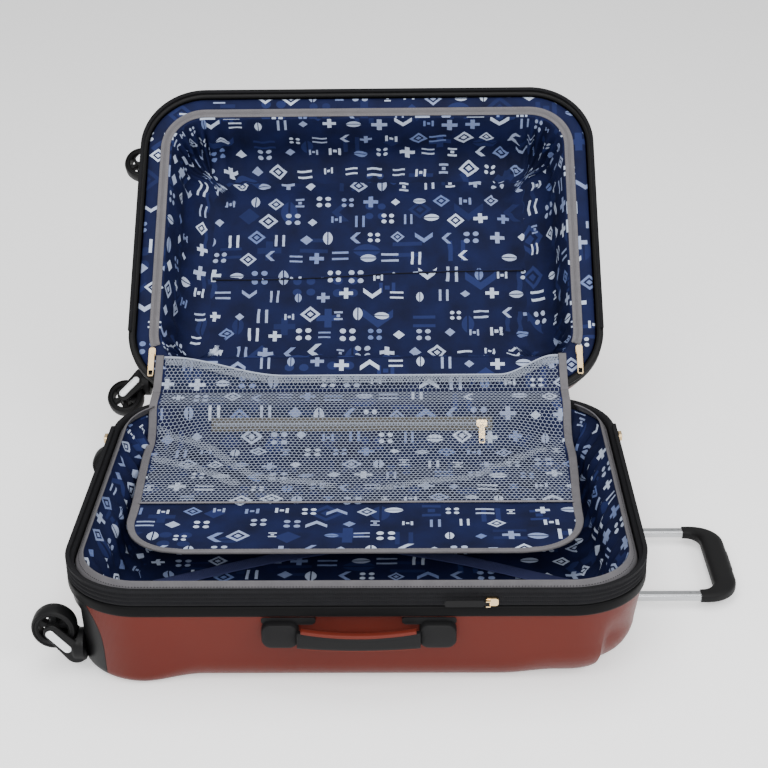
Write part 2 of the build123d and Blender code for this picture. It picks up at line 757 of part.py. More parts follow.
# Casters: each turns about a stem along X, and its wheel trails to one side
casters = (
    ("base_front", base_half, base_depth, 1, (0, 0, 1)),
    ("base_rear", base_half, base_depth, -1, (0, 0, 1)),
    ("lid_lower", lid_half, lid_depth, 1, lid_half.y_dir),
    ("lid_upper", lid_half, lid_depth, -1, lid_half.y_dir),
)
cheek_inside = wheel_width / 2 + cheek_gap
cheek_foot = crown_lift + cheek_radius
cheek_run = hypot(axle_reach - cheek_foot, trail)
cheek_turn = degrees(atan2(trail, axle_reach - cheek_foot))
cheek_middle = ((axle_reach + cheek_foot) / 2, trail / 2)
insert_middle = (axle_reach - cheek_run / 4, trail - cheek_run / 4)
for name, plane, depth, side, trail_dir in casters:
    swivel_plane, wheel_plane = caster_planes(plane, depth, side, trail_dir)
    with BuildPart() as caster_fork:
        with BuildSketch(swivel_plane.offset(crown_lift)):
            Circle(crown_radius)
        extrude(amount=crown_height)
        fillet(caster_fork.edges().sort_by(Axis.X)[0], crown_height / 4)
        with BuildSketch(swivel_plane.offset(crown_lift - stem_length)):
            Circle(stem_radius)
        extrude(amount=stem_length)
        for cheek_side in (-1, 1):
            cheek_start = cheek_inside if cheek_side > 0 else -cheek_inside - cheek_thick
            with BuildSketch(wheel_plane.offset(cheek_start)):
                with Locations(Location((cheek_middle[0], cheek_middle[1], 0), (0, 0, cheek_turn))):
                    SlotCenterToCenter(cheek_run, 2 * cheek_radius)
            extrude(amount=cheek_thick)
        with BuildSketch(wheel_plane.offset(-cheek_inside - 2 * cheek_thick)):
            with Locations((axle_reach, trail)):
                Circle(axle_radius + running_fit / 2)
        extrude(amount=2 * cheek_inside + 4 * cheek_thick, mode=Mode.SUBTRACT)
    save(caster_fork.part, f"{name}_fork")

    with BuildPart() as fork_inserts:
        for cheek_side in (-1, 1):
            face_at = cheek_inside + cheek_thick
            insert_start = face_at if cheek_side > 0 else -face_at - insert_thick
            with BuildSketch(wheel_plane.offset(insert_start)):
                with Locations(Location((insert_middle[0], insert_middle[1], 0), (0, 0, cheek_turn))):
                    SlotOverall(insert_length, insert_width)
            extrude(amount=insert_thick)
    save(fork_inserts.part, f"{name}_fork_inserts")

    with BuildPart() as caster_axle:
        with BuildSketch(wheel_plane.offset(-cheek_inside - cheek_thick + fit)):
            with Locations((axle_reach, trail)):
                Circle(axle_radius)
        extrude(amount=2 * (cheek_inside + cheek_thick - fit))
    save(caster_axle.part, f"{name}_axle")

    with BuildPart() as caster_wheel:
        with BuildSketch(wheel_plane.offset(-wheel_width / 2)):
            with Locations((axle_reach, trail)):
                Circle(wheel_diameter / 2)
        extrude(amount=wheel_width)
        fillet(caster_wheel.edges().filter_by(GeomType.CIRCLE), wheel_round)
        for face_at in (-wheel_width / 2, wheel_width / 2 - wheel_dish):
            with BuildSketch(wheel_plane.offset(face_at)):
                with Locations((axle_reach, trail)):
                    Circle(wheel_diameter / 2 - 2 * wheel_round)
                    Circle(wheel_diameter / 4 - wheel_round, mode=Mode.SUBTRACT)
            extrude(amount=wheel_dish, mode=Mode.SUBTRACT)
        with BuildSketch(wheel_plane.offset(-wheel_width / 2)):
            with Locations((axle_reach, trail)):
                Circle(axle_radius + running_fit)
        extrude(amount=wheel_width, mode=Mode.SUBTRACT)
    save(caster_wheel.part, f"{name}_wheel")

# Zip sliders and their pulls
slider_body = (slider_width, slider_length)
gusset_front = Plane(
    origin=(expansion_at, -half_width, hinge_z - gusset_start - gusset_height / 2),
    x_dir=(0, 0, -1),
    z_dir=(0, -1, 0),
)
with BuildPart() as expansion_slider:
    add(zip_slider(gusset_front, slider_height, slider_seat, slider_body))
save(expansion_slider.part, "expansion_slider")
with BuildPart() as expansion_puller:
    add(zip_pull(gusset_front, slider_height, slider_seat, expansion_pull))
save(expansion_puller.part, "expansion_puller")

for name, side in (("left", -1), ("right", 1)):
    main_plane = Plane(
        origin=(side * half_length, main_slider_at, hinge_z - zip_start - slider_width / 2),
        x_dir=(0, 0, -side),
        z_dir=(side, 0, 0),
    )
    with BuildPart() as main_slider:
        with BuildSketch(main_plane.offset(slider_seat)):
            RectangleRounded(slider_width, slider_length, slider_width / 3)
        extrude(amount=slider_height)
        top_face = main_slider.faces().sort_by(Axis(main_plane.origin, main_plane.z_dir))[-1]
        fillet(top_face.edges(), slider_height / 6)
    save(main_slider.part, f"main_slider_{name}")

    tape_middle = half_length - divider_tape_inset - divider_tape_width / 2
    slider_y = divider_tape_end - slider_length / 2
    slider_spot = lid_half.from_local_coords((side * tape_middle, slider_y, divider_tape_level))
    divider_slider_plane = Plane(origin=slider_spot, x_dir=(1, 0, 0), z_dir=-lid_half.z_dir)
    with BuildPart() as divider_slider:
        add(zip_slider(divider_slider_plane, flat_slider_height, slider_seat, slider_body))
    save(divider_slider.part, f"divider_slider_{name}")
    with BuildPart() as divider_pull:
        add(zip_pull(divider_slider_plane, flat_slider_height, slider_seat, slider_pull))
    save(divider_pull.part, f"divider_pull_{name}")

# Divider: a sheet that runs from the hinge cord over the back rim and down into the base
divider_start = (hinge_y - hinge_cord - cord_gap, hinge_z - divider_thick / 2)
divider_fold = [(hinge_y + along, hinge_z + drop) for along, drop in divider_drop]
divider_points = (divider_start, *divider_fold)
divider_front, divider_front_level = divider_fold[-1]
mesh_points = [(hinge_y + along, hinge_z + drop) for along, drop in mesh_drop]


def drape(thick, points, radii, across=0):
    """Strip of even thickness along a side view of the drape."""
    with BuildSketch(Plane.YZ.offset(across), mode=Mode.PRIVATE) as strip:
        with BuildLine() as path:
            FilletPolyline(*points, radius=radii)
        trace(path.line, thick)
    return strip.sketch


def divider_plan(grow):
    """Plan of the divider with its two rounded front corners."""
    with BuildSketch(mode=Mode.PRIVATE) as plan:
        length = hinge_y - divider_front + grow
        with Locations((divider_shift, divider_front - grow + length)):
            RectangleRounded(divider_width + 2 * grow, 2 * length, divider_corner + grow)
    return plan.sketch


with BuildPart() as divider_panel:
    sheet = drape(divider_thick, divider_points, divider_fold_radii)
    extrude(sheet, amount=rim_length, dir=(1, 0, 0), both=True)
    with BuildSketch():
        add(divider_plan(0))
    extrude(amount=hinge_z * 2, mode=Mode.INTERSECT)
save(divider_panel.part, "divider_panel")

with BuildPart() as divider_binding:
    edge_points = (*divider_points[:-1], (divider_front - divider_edge_width, divider_front_level))
    edge_strip = drape(divider_edge_thick, edge_points, divider_fold_radii)
    extrude(edge_strip, amount=rim_length, dir=(1, 0, 0), both=True)
    with BuildSketch():
        add(divider_plan(divider_edge_width))
        add(divider_plan(fit), mode=Mode.SUBTRACT)
    extrude(amount=hinge_z * 2, mode=Mode.INTERSECT)
    with BuildSketch():
        with Locations((0, divider_fold[0][0] + rim_width / 2)):
            Rectangle(2 * rim_length, rim_width)
    extrude(amount=hinge_z * 2, mode=Mode.SUBTRACT)
save(divider_binding.part, "divider_binding")

with BuildPart() as mesh_pocket:
    mesh_strip = drape(mesh_thick, mesh_points, mesh_fold_radii, divider_shift)
    extrude(mesh_strip, amount=divider_width / 2 - mesh_side, dir=(1, 0, 0), both=True)
save(mesh_pocket.part, "mesh_pocket")

slope = Vector(0, divider_fold[0][0] - divider_fold[1][0], divider_fold[0][1] - divider_fold[1][1])
slope_middle = [(upper + lower) / 2 for upper, lower in zip(divider_fold[0], divider_fold[1])]
pocket_plane = Plane(
    origin=(pocket_zip_right - slider_length, slope_middle[0], slope_middle[1]),
    x_dir=(1, 0, 0),
    z_dir=(0, -slope.Z, slope.Y),
)
pocket_zip_level = divider_thick / 2 + fit / 2
with BuildPart() as pocket_zip:
    zip_run = pocket_zip_right - pocket_zip_left
    with BuildSketch(pocket_plane.offset(pocket_zip_level)):
        with Locations((slider_length - zip_run / 2, 0)):
            Rectangle(zip_run, pocket_zip_width)
    extrude(amount=pocket_zip_thick)
save(pocket_zip.part, "pocket_zip")

pocket_seat = pocket_zip_level + pocket_zip_thick + slider_seat
with BuildPart() as pocket_slider:
    add(zip_slider(pocket_plane, flat_slider_height, pocket_seat, (slider_length, slider_width)))
save(pocket_slider.part, "pocket_slider")
with BuildPart() as pocket_slider_pull:
    add(zip_pull(pocket_plane, flat_slider_height, pocket_seat, pocket_pull))
save(pocket_slider_pull.part, "pocket_pull")
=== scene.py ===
# Looks of an open hard shell suitcase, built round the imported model; sizes are in metres
import json
import math

import bmesh
import bpy
import numpy as np
from mathutils import Matrix, Vector, noise


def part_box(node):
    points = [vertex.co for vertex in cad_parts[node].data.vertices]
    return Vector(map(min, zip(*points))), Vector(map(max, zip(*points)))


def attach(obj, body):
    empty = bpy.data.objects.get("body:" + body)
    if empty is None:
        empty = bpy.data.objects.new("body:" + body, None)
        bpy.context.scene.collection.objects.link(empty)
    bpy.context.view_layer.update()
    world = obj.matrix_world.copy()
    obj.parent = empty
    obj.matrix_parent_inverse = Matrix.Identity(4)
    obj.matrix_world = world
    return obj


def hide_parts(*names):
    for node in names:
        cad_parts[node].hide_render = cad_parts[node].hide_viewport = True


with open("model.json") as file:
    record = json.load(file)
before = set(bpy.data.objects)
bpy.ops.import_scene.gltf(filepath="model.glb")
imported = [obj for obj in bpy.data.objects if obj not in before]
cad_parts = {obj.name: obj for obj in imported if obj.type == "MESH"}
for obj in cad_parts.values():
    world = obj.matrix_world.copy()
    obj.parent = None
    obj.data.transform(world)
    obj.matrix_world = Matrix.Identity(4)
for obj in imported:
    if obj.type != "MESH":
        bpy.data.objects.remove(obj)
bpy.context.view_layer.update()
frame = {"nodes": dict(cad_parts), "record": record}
joints = {joint["name"]: joint for joint in frame["record"]["behaviour"]["joints"]}

# The case's own axes: halves are drawn as x, y and depth below the rim, with y towards the hinge
caseShape = dict(openAngle=138.0, rimCorner=0.090, lidDepth=0.118)
rimLow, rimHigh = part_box("base_rim_band")
halfLength = (rimHigh[0] - rimLow[0]) / 2
halfWidth = (rimHigh[1] - rimLow[1]) / 2
hingeY, rimZ = joints["lid_hinge"]["pos_m"][1:]
lidSwing = math.radians(caseShape["openAngle"])
lidUp = np.array((0.0, -math.cos(lidSwing), math.sin(lidSwing)))
lidIn = np.array((0.0, math.sin(lidSwing), math.cos(lidSwing)))


def onBase(x, y, depth):
    x, y, depth = np.broadcast_arrays(x, y, depth)
    return np.stack((x, y, rimZ - depth), axis=-1)


def onLid(x, y, depth):
    x, y, depth = np.broadcast_arrays(x, y, depth)
    hinge = np.array((0.0, hingeY, rimZ))
    across = np.multiply.outer(x, (1.0, 0.0, 0.0))
    return hinge + across + np.multiply.outer(hingeY - y, lidUp) + np.multiply.outer(depth, lidIn)


def smooth(value, low, high):
    part = np.clip((np.asarray(value, float) - low) / (high - low), 0, 1)
    return part * part * (3 - 2 * part)


def ripple(points, size, seed):
    # steady noise from -1 to 1 for each point
    flat = np.asarray(points, float).reshape(-1, 3) / size + seed
    values = [noise.noise(Vector(point)) for point in flat]
    return np.array(values).reshape(np.shape(points)[:-1])


# Shader maths as Python expressions
class Wire:
    def __init__(self, tree, socket=None):
        self.tree = tree
        self.socket = socket

    def add(self, kind, inputs=None, settings=None, out=0):
        node = self.tree.nodes.new(kind)
        for name, value in (settings or {}).items():
            setattr(node, name, value)
        for key, value in (inputs or {}).items():
            if isinstance(value, Wire):
                self.tree.links.new(value.socket, node.inputs[key])
            else:
                node.inputs[key].default_value = value
        if isinstance(out, tuple):
            return [Wire(self.tree, node.outputs[key]) for key in out]
        return Wire(self.tree, node.outputs[out])

    def maths(self, operation, *values):
        return self.add("ShaderNodeMath", dict(enumerate(values)), {"operation": operation})

    def __add__(self, other):
        return self.maths("ADD", self, other)

    def __sub__(self, other):
        return self.maths("SUBTRACT", self, other)

    def __rsub__(self, other):
        return self.maths("SUBTRACT", other, self)

    def __mul__(self, other):
        return self.maths("MULTIPLY", self, other)

    def __truediv__(self, other):
        return self.maths("DIVIDE", self, other)

    def __lt__(self, other):
        return self.maths("LESS_THAN", self, other)

    def __gt__(self, other):
        return self.maths("GREATER_THAN", self, other)

    def __abs__(self):
        return self.maths("ABSOLUTE", self)

    __radd__ = __add__
    __rmul__ = __mul__

    def sine(self):
        return self.maths("SINE", self)

    def floor(self):
        return self.maths("FLOOR", self)

    def length(self, other):
        return self.maths("SQRT", self * self + other * other)

    def most(self, other):
        return self.maths("MAXIMUM", self, other)

    def least(self, other):
        return self.maths("MINIMUM", self, other)

    def split(self):
        return self.add("ShaderNodeSeparateXYZ", {0: self}, out=(0, 1, 2))

    def speckle(self, scale, detail=3.0):
        return self.add("ShaderNodeTexNoise", {"Vector": self, "Scale": scale, "Detail": detail})

    def tint(self, low, high):
        # colour between two, by this value
        return self.add("ShaderNodeMix", {0: self, 6: low, 7: high}, {"data_type": "RGBA"}, 2)

    def bump(self, strength, distance):
        values = {"Height": self, "Strength": strength, "Distance": distance}
        return self.add("ShaderNodeBump", values)


def paint(code):
    # sRGB hex to a linear colour
    parts = [int(code[i:i + 2], 16) / 255 for i in (0, 2, 4)]
    return tuple(p / 12.92 if p <= 0.04045 else ((p + 0.055) / 1.055) ** 2.4 for p in parts) + (1.0,)


def newFinish(name, coords="Object"):
    material = bpy.data.materials.new(name)
    material.use_nodes = True
    wire = Wire(material.node_tree)
    if coords == "Object":
        place = wire.add("ShaderNodeTexCoord", out="Object")
    else:
        place = wire.add("ShaderNodeUVMap", settings={"uv_map": coords})
    return material, place


def setShader(material, **values):
    names = dict(color="Base Color", rough="Roughness", metal="Metallic", coat="Coat Weight", normal="Normal",
                 coatRough="Coat Roughness", specular="Specular IOR Level", glow="Emission Color",
                 glowPower="Emission Strength")
    shader = material.node_tree.nodes["Principled BSDF"]
    for key, value in values.items():
        socket = shader.inputs[names[key]]
        if isinstance(value, Wire):
            material.node_tree.links.new(value.socket, socket)
        else:
            socket.default_value = value
    return material


def shellFinish():
    # moulded rust with fine crossed ribs
    look = dict(pitch=0.0021, slant=0.6, warm="56180b", deep="441007", cloud=7.0, grain=160.0, rough=0.3,
                ribs=0.3, ribHeight=0.0006)
    material, place = newFinish("shellRust")
    x, y, z = place.split()
    turn = 2 * math.pi / look["pitch"]
    along = x + y * look["slant"]
    ribs = ((along + z) * turn).sine() * ((along - z) * turn).sine()
    cloud = place.speckle(look["cloud"])
    # the ribs also tint the colour, lighter on their crests and darker in their hollows: painted highlight
    # and painted shade of the relief; the cloud under it is random tone
    color = (cloud * 0.8 + ribs * 0.2 + 0.1).tint(paint(look["deep"]), paint(look["warm"]))
    rough = place.speckle(look["grain"]) * 0.12 + look["rough"]
    return setShader(material, color=color, rough=rough, specular=0.14, coat=0.03, coatRough=0.2,
                     normal=ribs.bump(look["ribs"], look["ribHeight"]))


def mouldedFinish(name, color, lift, rough, grain, specular=0.14):
    material, place = newFinish(name)
    speck = place.speckle(grain, 4.0)
    shade = place.speckle(9.0).tint(paint(color), paint(lift))
    return setShader(material, color=shade, rough=speck * 0.18 + rough, specular=specular,
                     normal=speck.bump(0.12, 0.0004))


def metalFinish(name, color, lift, rough, along):
    material, place = newFinish(name)
    stretch = place.add("ShaderNodeMapping", {"Vector": place, "Scale": along})
    streak = stretch.speckle(40.0, 4.0)
    shade = streak.tint(paint(color), paint(lift))
    return setShader(material, color=shade, metal=1.0, rough=streak * 0.12 + rough,
                     normal=streak.bump(0.05, 0.0002))


def wovenFinish(name, color, lift, pitch, strength=0.5, coords="cloth"):
    # ribbed weave that runs with the piece's own cloth map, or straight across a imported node
    material, place = newFinish(name, coords)
    u, v = place.split()[:2]
    turn = 2 * math.pi / pitch
    ribs = (u * turn).sine() * 0.5 + (v * turn * 2).sine() * 0.5
    cloud = place.speckle(60.0)
    shade = (cloud * 0.7 + ribs * 0.12 + 0.15).tint(paint(color), paint(lift))
    return setShader(material, color=shade, rough=0.85, specular=0.15, normal=ribs.bump(strength, 0.0005))


def motifField(place, cell, row, stagger, size):
    # one plain motif, or none, in each cell of a staggered grid: its mask and its tone
    u, v = place.split()[:2]
    rowAt = v / row
    rowIndex = rowAt.floor()
    columnAt = u / cell + rowIndex * stagger
    column = columnAt.floor()
    spot = place.add("ShaderNodeCombineXYZ", {0: column, 1: rowIndex, 2: 0.5})
    dice = place.add("ShaderNodeTexWhiteNoise", {"Vector": spot}, {"noise_dimensions": "2D"}, "Color")
    pick, turn, tone = dice.split()
    nudge = place.add("ShaderNodeTexWhiteNoise", {"Vector": spot}, {"noise_dimensions": "3D"}, "Color")
    right, up, grow = nudge.split()
    scale = (grow * 0.34 + 0.66) * size
    p = ((columnAt - column) * 2 - 1 + (right - 0.5) * 0.44) / scale
    q = ((rowAt - rowIndex) * 2 - 1 + (up - 0.5) * 0.44) / scale
    turned = turn > 0.5
    a = p * (1 - turned) + q * turned
    b = q * (1 - turned) - p * turned
    across, along = abs(a), abs(b)
    diamond = across + along
    motifs = [
        (diamond < 0.78) - (diamond < 0.48) + (diamond < 0.26),
        (abs(across * 0.9 + b - 0.18) < 0.22) * (across < 0.7),
        (across.most(along) < 0.62) * (across.least(along) < 0.19),
        (across - 0.36).length(along - 0.36) < 0.23,
        ((a - 0.42).length(b) < 0.8) * ((a + 0.42).length(b) < 0.8) * (across > 0.05),
        (abs(along - 0.32) < 0.11) * (across < 0.66),
        diamond < 0.5,
        (abs(along - 0.36) < 0.1) * (across < 0.36) + (across.most(along) < 0.14),
    ]
    kind = (pick * (len(motifs) + 0.7)).floor()
    mask = sum((abs(kind - index) < 0.5) * motif for index, motif in enumerate(motifs))
    return mask, tone


def printFinish():
    # mottled navy cloth: large dim motifs under small pale ones
    look = dict(navy="121a40", deep="0a0e24", dim="222d5a", mid="536596", pale="b4bfd3", threads=5200)
    material, place = newFinish("navyPrint", "cloth")
    u, v = place.split()[:2]
    large, largeTone = motifField(place, cell=0.066, row=0.058, stagger=0.37, size=1.0)
    small, smallTone = motifField(place, cell=0.0350, row=0.0300, stagger=0.41, size=1.12)
    cloud = place.speckle(22.0, 4.0)
    ground = (cloud * 1.8 - 0.4).tint(paint(look["deep"]), paint(look["navy"]))
    ground = (large * (largeTone * 0.5 + 0.3)).tint(ground, paint(look["dim"]))
    ink = (smallTone * 1.2 + place.speckle(300.0) * 0.3 - 0.1).tint(paint(look["mid"]), paint(look["pale"]))
    color = (small * (place.speckle(420.0) * 0.4 + 0.72)).tint(ground, ink)
    weave = (u * look["threads"]).sine() * (v * look["threads"]).sine()
    return setShader(material, color=color, rough=0.75, specular=0.12, normal=weave.bump(0.15, 0.0002))


finishes = dict(
    shell=shellFinish(),
    rim=mouldedFinish("rimSatin", "0a0a0b", "101011", 0.36, 500.0),
    lowRim=mouldedFinish("rimDeep", "050506", "09090a", 0.42, 500.0, 0.07),
    black=mouldedFinish("mouldedBlack", "09090a", "101011", 0.34, 900.0),
    soft=mouldedFinish("softTouch", "0c0c0d", "131314", 0.5, 1400.0),
    accent=mouldedFinish("accentRust", "4d1a12", "5c2319", 0.34, 700.0),
    tread=mouldedFinish("treadRubber", "0b0b0c", "151516", 0.42, 700.0),
    tape=wovenFinish("greyTape", "565457", "706e71", 0.0016),
    lip=wovenFinish("lipGrey", "4e4d50", "686669", 0.0016),
    zipTape=wovenFinish("zipBlack", "0c0c0e", "17171a", 0.0018),
    tapeNode=wovenFinish("pocketTape", "484642", "5d5a55", 0.0016, coords="Object"),
    zipNode=wovenFinish("zipBlackStraight", "0c0c0e", "17171a", 0.0018, coords="Object"),
    strap=wovenFinish("strapNavy", "33375e", "41466e", 0.0022),
    net=wovenFinish("netThread", "828998", "a3abba", 0.0009, 0.2),
    thread=wovenFinish("stitchThread", "5c5a5f", "828084", 0.0008, 0.3),
    lining=printFinish(),
    tube=metalFinish("brightTube", "a9abae", "c6c8ca", 0.22, (1.0, 30.0, 30.0)),
    steel=metalFinish("turnedSteel", "8d8f92", "b4b6b8", 0.3, (20.0, 20.0, 20.0)),
    insert=metalFinish("satinInsert", "cfd2d5", "eceeef", 0.3, (6.0, 40.0, 40.0)),
    gold=metalFinish("champagnePlate", "c9a878", "e6cfa4", 0.24, (20.0, 20.0, 20.0)),
)
print("finishes", len(finishes))

# Finish of every node that shows as it is
nodeFinish = dict(
    shell="shell", rim="rim", black_plastic="black", soft_grip="soft", accent="accent", tape="tapeNode",
    zip_black="zipNode", lining="lining", net="net", strap="strap", tube="tube", steel="steel",
    insert="insert", tread="tread", gold="gold",
)
for part in frame["record"]["subparts"]:
    node = frame["nodes"][part["node"]]
    node.data.materials.clear()
    node.data.materials.append(finishes[nodeFinish[part["material_slot"]]])


# Meshes
def newPiece(name, points, faces, finish, corners=None):
    mesh = bpy.data.meshes.new(name)
    mesh.from_pydata(np.asarray(points, float).reshape(-1, 3).tolist(), [], faces)
    if corners is not None:
        layer = mesh.uv_layers.new(name="cloth")
        layer.data.foreach_set("uv", np.asarray(corners, float).ravel())
    mesh.materials.append(finishes[finish])
    mesh.shade_smooth()
    piece = bpy.data.objects.new(name, mesh)
    bpy.context.scene.collection.objects.link(piece)
    return piece


def edgePairs(values):
    # each row of faces gets its own upper and lower line of the cloth map
    return np.stack((values[:-1], values[1:]), 1)


def gridPiece(name, points, u, v, finish, aroundRows=False, aroundColumns=False, capMap=None):
    # rows and columns of points; u and v hold two lines for each row of faces, one column longer if wrapped
    rows, columns = points.shape[:2]
    faces, corners = [], []
    for i in range(rows if aroundRows else rows - 1):
        for j in range(columns if aroundColumns else columns - 1):
            square = ((0, j), (0, j + 1), (1, j + 1), (1, j))
            faces.append([((i + r) % rows) * columns + c % columns for r, c in square])
            corners.extend((u[i, r, c], v[i, r, c]) for r, c in square)
    if capMap is not None:
        faces.append([(rows - 1) * columns + c for c in range(columns)])
        corners.extend(zip(*capMap))
    return newPiece(name, points, faces, finish, corners)


def outward(piece, closeEnds=False):
    # merge doubles, close open ends if asked, then turn faces out
    shape = bmesh.new()
    shape.from_mesh(piece.data)
    bmesh.ops.remove_doubles(shape, verts=shape.verts, dist=1e-6)
    if closeEnds:
        bmesh.ops.holes_fill(shape, edges=[edge for edge in shape.edges if edge.is_boundary])
    bmesh.ops.recalc_face_normals(shape, faces=shape.faces)
    shape.to_mesh(piece.data)
    shape.free()
    return piece


def solidPiece(name, stacks, finish):
    # closed solids from stacks of rings, each with flat ends
    points, faces, first = [], [], 0
    for rows in stacks:
        rows = np.asarray(rows, float)
        count, columns = rows.shape[:2]
        ring = np.arange(columns)
        after = np.roll(ring, -1)
        for r in range(count - 1):
            low, high = first + r * columns, first + (r + 1) * columns
            faces += np.stack((low + ring, low + after, high + after, high + ring), 1).tolist()
        faces.append((first + ring).tolist())
        faces.append((first + (count - 1) * columns + ring).tolist())
        points.append(rows.reshape(-1, 3))
        first += count * columns
    return crisp(outward(newPiece(name, np.concatenate(points), faces, finish)))


def crisp(piece, angle=34.0):
    # smooth shading that keeps edges sharper than the angle
    piece.data.shade_smooth()
    piece.data.set_sharp_from_angle(angle=math.radians(angle))
    return piece


def thicken(piece, amount):
    wall = piece.modifiers.new("wall", "SOLIDIFY")
    wall.thickness = amount
    wall.offset = 0
    return piece


def settle(piece, name):
    # the evaluated shape as a plain mesh, with its modifiers gone
    bpy.context.view_layer.update()
    ready = piece.evaluated_get(bpy.context.evaluated_depsgraph_get())
    mesh = bpy.data.meshes.new_from_object(ready)
    mesh.name = name
    piece.modifiers.clear()
    piece.data = mesh
    return piece


def cut(piece, **tools):
    # take tools away from a solid, or keep what is common to both
    for operation, solids in tools.items():
        for solid in solids:
            change = piece.modifiers.new(operation, "BOOLEAN")
            change.operation = operation.upper()
            change.solver = "EXACT"
            change.object = solid
    return crisp(settle(piece, piece.name))


def discard(*pieces):
    for piece in pieces:
        bpy.data.objects.remove(piece)


def rimLoop(inset, step):
    # the rim's rounded rectangle, drawn in; counts come from the rim itself, so loops match
    corner = caseShape["rimCorner"]
    radius = max(corner - inset, 0.006)
    a, b = halfLength - inset - radius, halfWidth - inset - radius
    longCount = max(int(2 * (halfLength - corner) / step), 4)
    shortCount = max(int(2 * (halfWidth - corner) / step), 4)
    turnCount = max(int(corner * math.pi / 2 / step), 6)
    x, y = [], []
    sides = (((-a, -b), (a, -b), -90, longCount), ((a, -b), (a, b), 0, shortCount),
             ((a, b), (-a, b), 90, longCount), ((-a, b), (-a, -b), 180, shortCount))
    for start, end, facing, count in sides:
        turn = math.radians(facing)
        for k in range(count):
            part = k / count
            x.append(start[0] + (end[0] - start[0]) * part + radius * math.cos(turn))
            y.append(start[1] + (end[1] - start[1]) * part + radius * math.sin(turn))
        for k in range(turnCount):
            bend = turn + math.pi / 2 * k / turnCount
            x.append(end[0] + radius * math.cos(bend))
            y.append(end[1] + radius * math.sin(bend))
    return np.array(x), np.array(y)


def movedIn(inset, amount, step):
    # a rim loop whose points move further in, each by its own amount
    x, y = rimLoop(inset, step)
    inX, inY = rimLoop(inset + 0.004, step)
    size = np.maximum(np.hypot(inX - x, inY - y), 1e-6)
    return x + (inX - x) / size * amount, y + (inY - y) / size * amount


def runLength(points, around=False):
    # length along a line of points, with the full turn as its last value on a closed one
    points = np.asarray(points)
    if around:
        points = np.concatenate((points, points[:1]))
    return np.concatenate(((0,), np.linalg.norm(np.diff(points, axis=0), axis=1).cumsum()))


def roundProfile(low, high, radius, steps=3):
    # closed rectangle with round corners, from one corner to the other
    points = []
    spots = ((high[0], high[1], 0), (low[0], high[1], 90), (low[0], low[1], 180), (high[0], low[1], 270))
    for px, py, facing in spots:
        cx = px - radius if px == high[0] else px + radius
        cy = py - radius if py == high[1] else py + radius
        for k in range(steps + 1):
            bend = math.radians(facing + 90 * k / steps)
            points.append((cx + radius * math.cos(bend), cy + radius * math.sin(bend)))
    return np.array(points)


def sweptPiece(name, rows, profile, finish, around):
    # rows of points, one for each point of a closed profile, along an open or closed path
    run = runLength(rows[0], around)
    u = np.tile(run, (len(profile) + 1, 1))
    v = np.tile(runLength(profile, True)[:, None], (1, len(run)))
    piece = gridPiece(name, rows, edgePairs(u), edgePairs(v), finish, aroundRows=True, aroundColumns=around)
    return outward(piece, closeEnds=not around)


def keptOrder(keep, step):
    # the rim's points where keep(x, y) holds, in one run
    kept = keep(*rimLoop(0, step))
    first = next(k for k in range(len(kept)) if kept[k] and not kept[k - 1])
    return [(first + k) % len(kept) for k in range(len(kept)) if kept[(first + k) % len(kept)]]


def rimPath(place, inset, depth, keep=None, step=0.008):
    x, y = rimLoop(inset, step)
    if keep is None:
        return place(x, y, depth)
    order = keptOrder(keep, step)
    return place(x[order], y[order], depth)


def ringPiece(name, place, profile, finish, keep=None, step=0.008):
    # a closed profile of inset and depth, swept round the rim, or round the part that keep chooses
    rows = np.array([rimPath(place, inset, depth, keep, step) for inset, depth in profile])
    return sweptPiece(name, rows, profile, finish, keep is None)


def ribbon(name, middle, side, normal, half, thick, finish, corner=0.35, steps=2):
    # band along a line; side and normal are unit vectors at each point
    profile = roundProfile((-1, -1), (1, 1), corner, steps)
    half = np.broadcast_to(np.asarray(half, float), len(middle))
    thick = np.broadcast_to(np.asarray(thick, float), len(middle))
    rows = [middle + side * (px * half)[:, None] + normal * (py * thick / 2)[:, None] for px, py in profile]
    return sweptPiece(name, np.array(rows), profile * half.mean(), finish, False)


def unit(vectors):
    return vectors / np.linalg.norm(vectors, axis=-1, keepdims=True)


def finishPiece(piece, body, slot, *nodes):
    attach(piece, body)
    if nodes:
        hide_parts(*nodes)
    return piece


# Node trees: a geometry input, named sizes and a material; they end in real geometry with its finish
def startTree(name, **sizes):
    tree = bpy.data.node_groups.new(name, "GeometryNodeTree")
    inputs = dict(Geometry="Geometry", **sizes, Material="Material")
    for label, kind in inputs.items():
        tree.interface.new_socket(label, in_out="INPUT", socket_type=f"NodeSocket{kind}")
    tree.interface.new_socket("Geometry", in_out="OUTPUT", socket_type="NodeSocketGeometry")
    start = tree.nodes.new("NodeGroupInput")
    return [Wire(tree, start.outputs[k]) for k in range(len(inputs))]


def endTree(shape, finish):
    real = shape.add("GeometryNodeRealizeInstances", {"Geometry": shape})
    done = shape.add("GeometryNodeSetMaterial", {"Geometry": real, "Material": finish})
    end = shape.tree.nodes.new("NodeGroupOutput")
    shape.tree.links.new(done.socket, end.inputs[0])
    return shape.tree


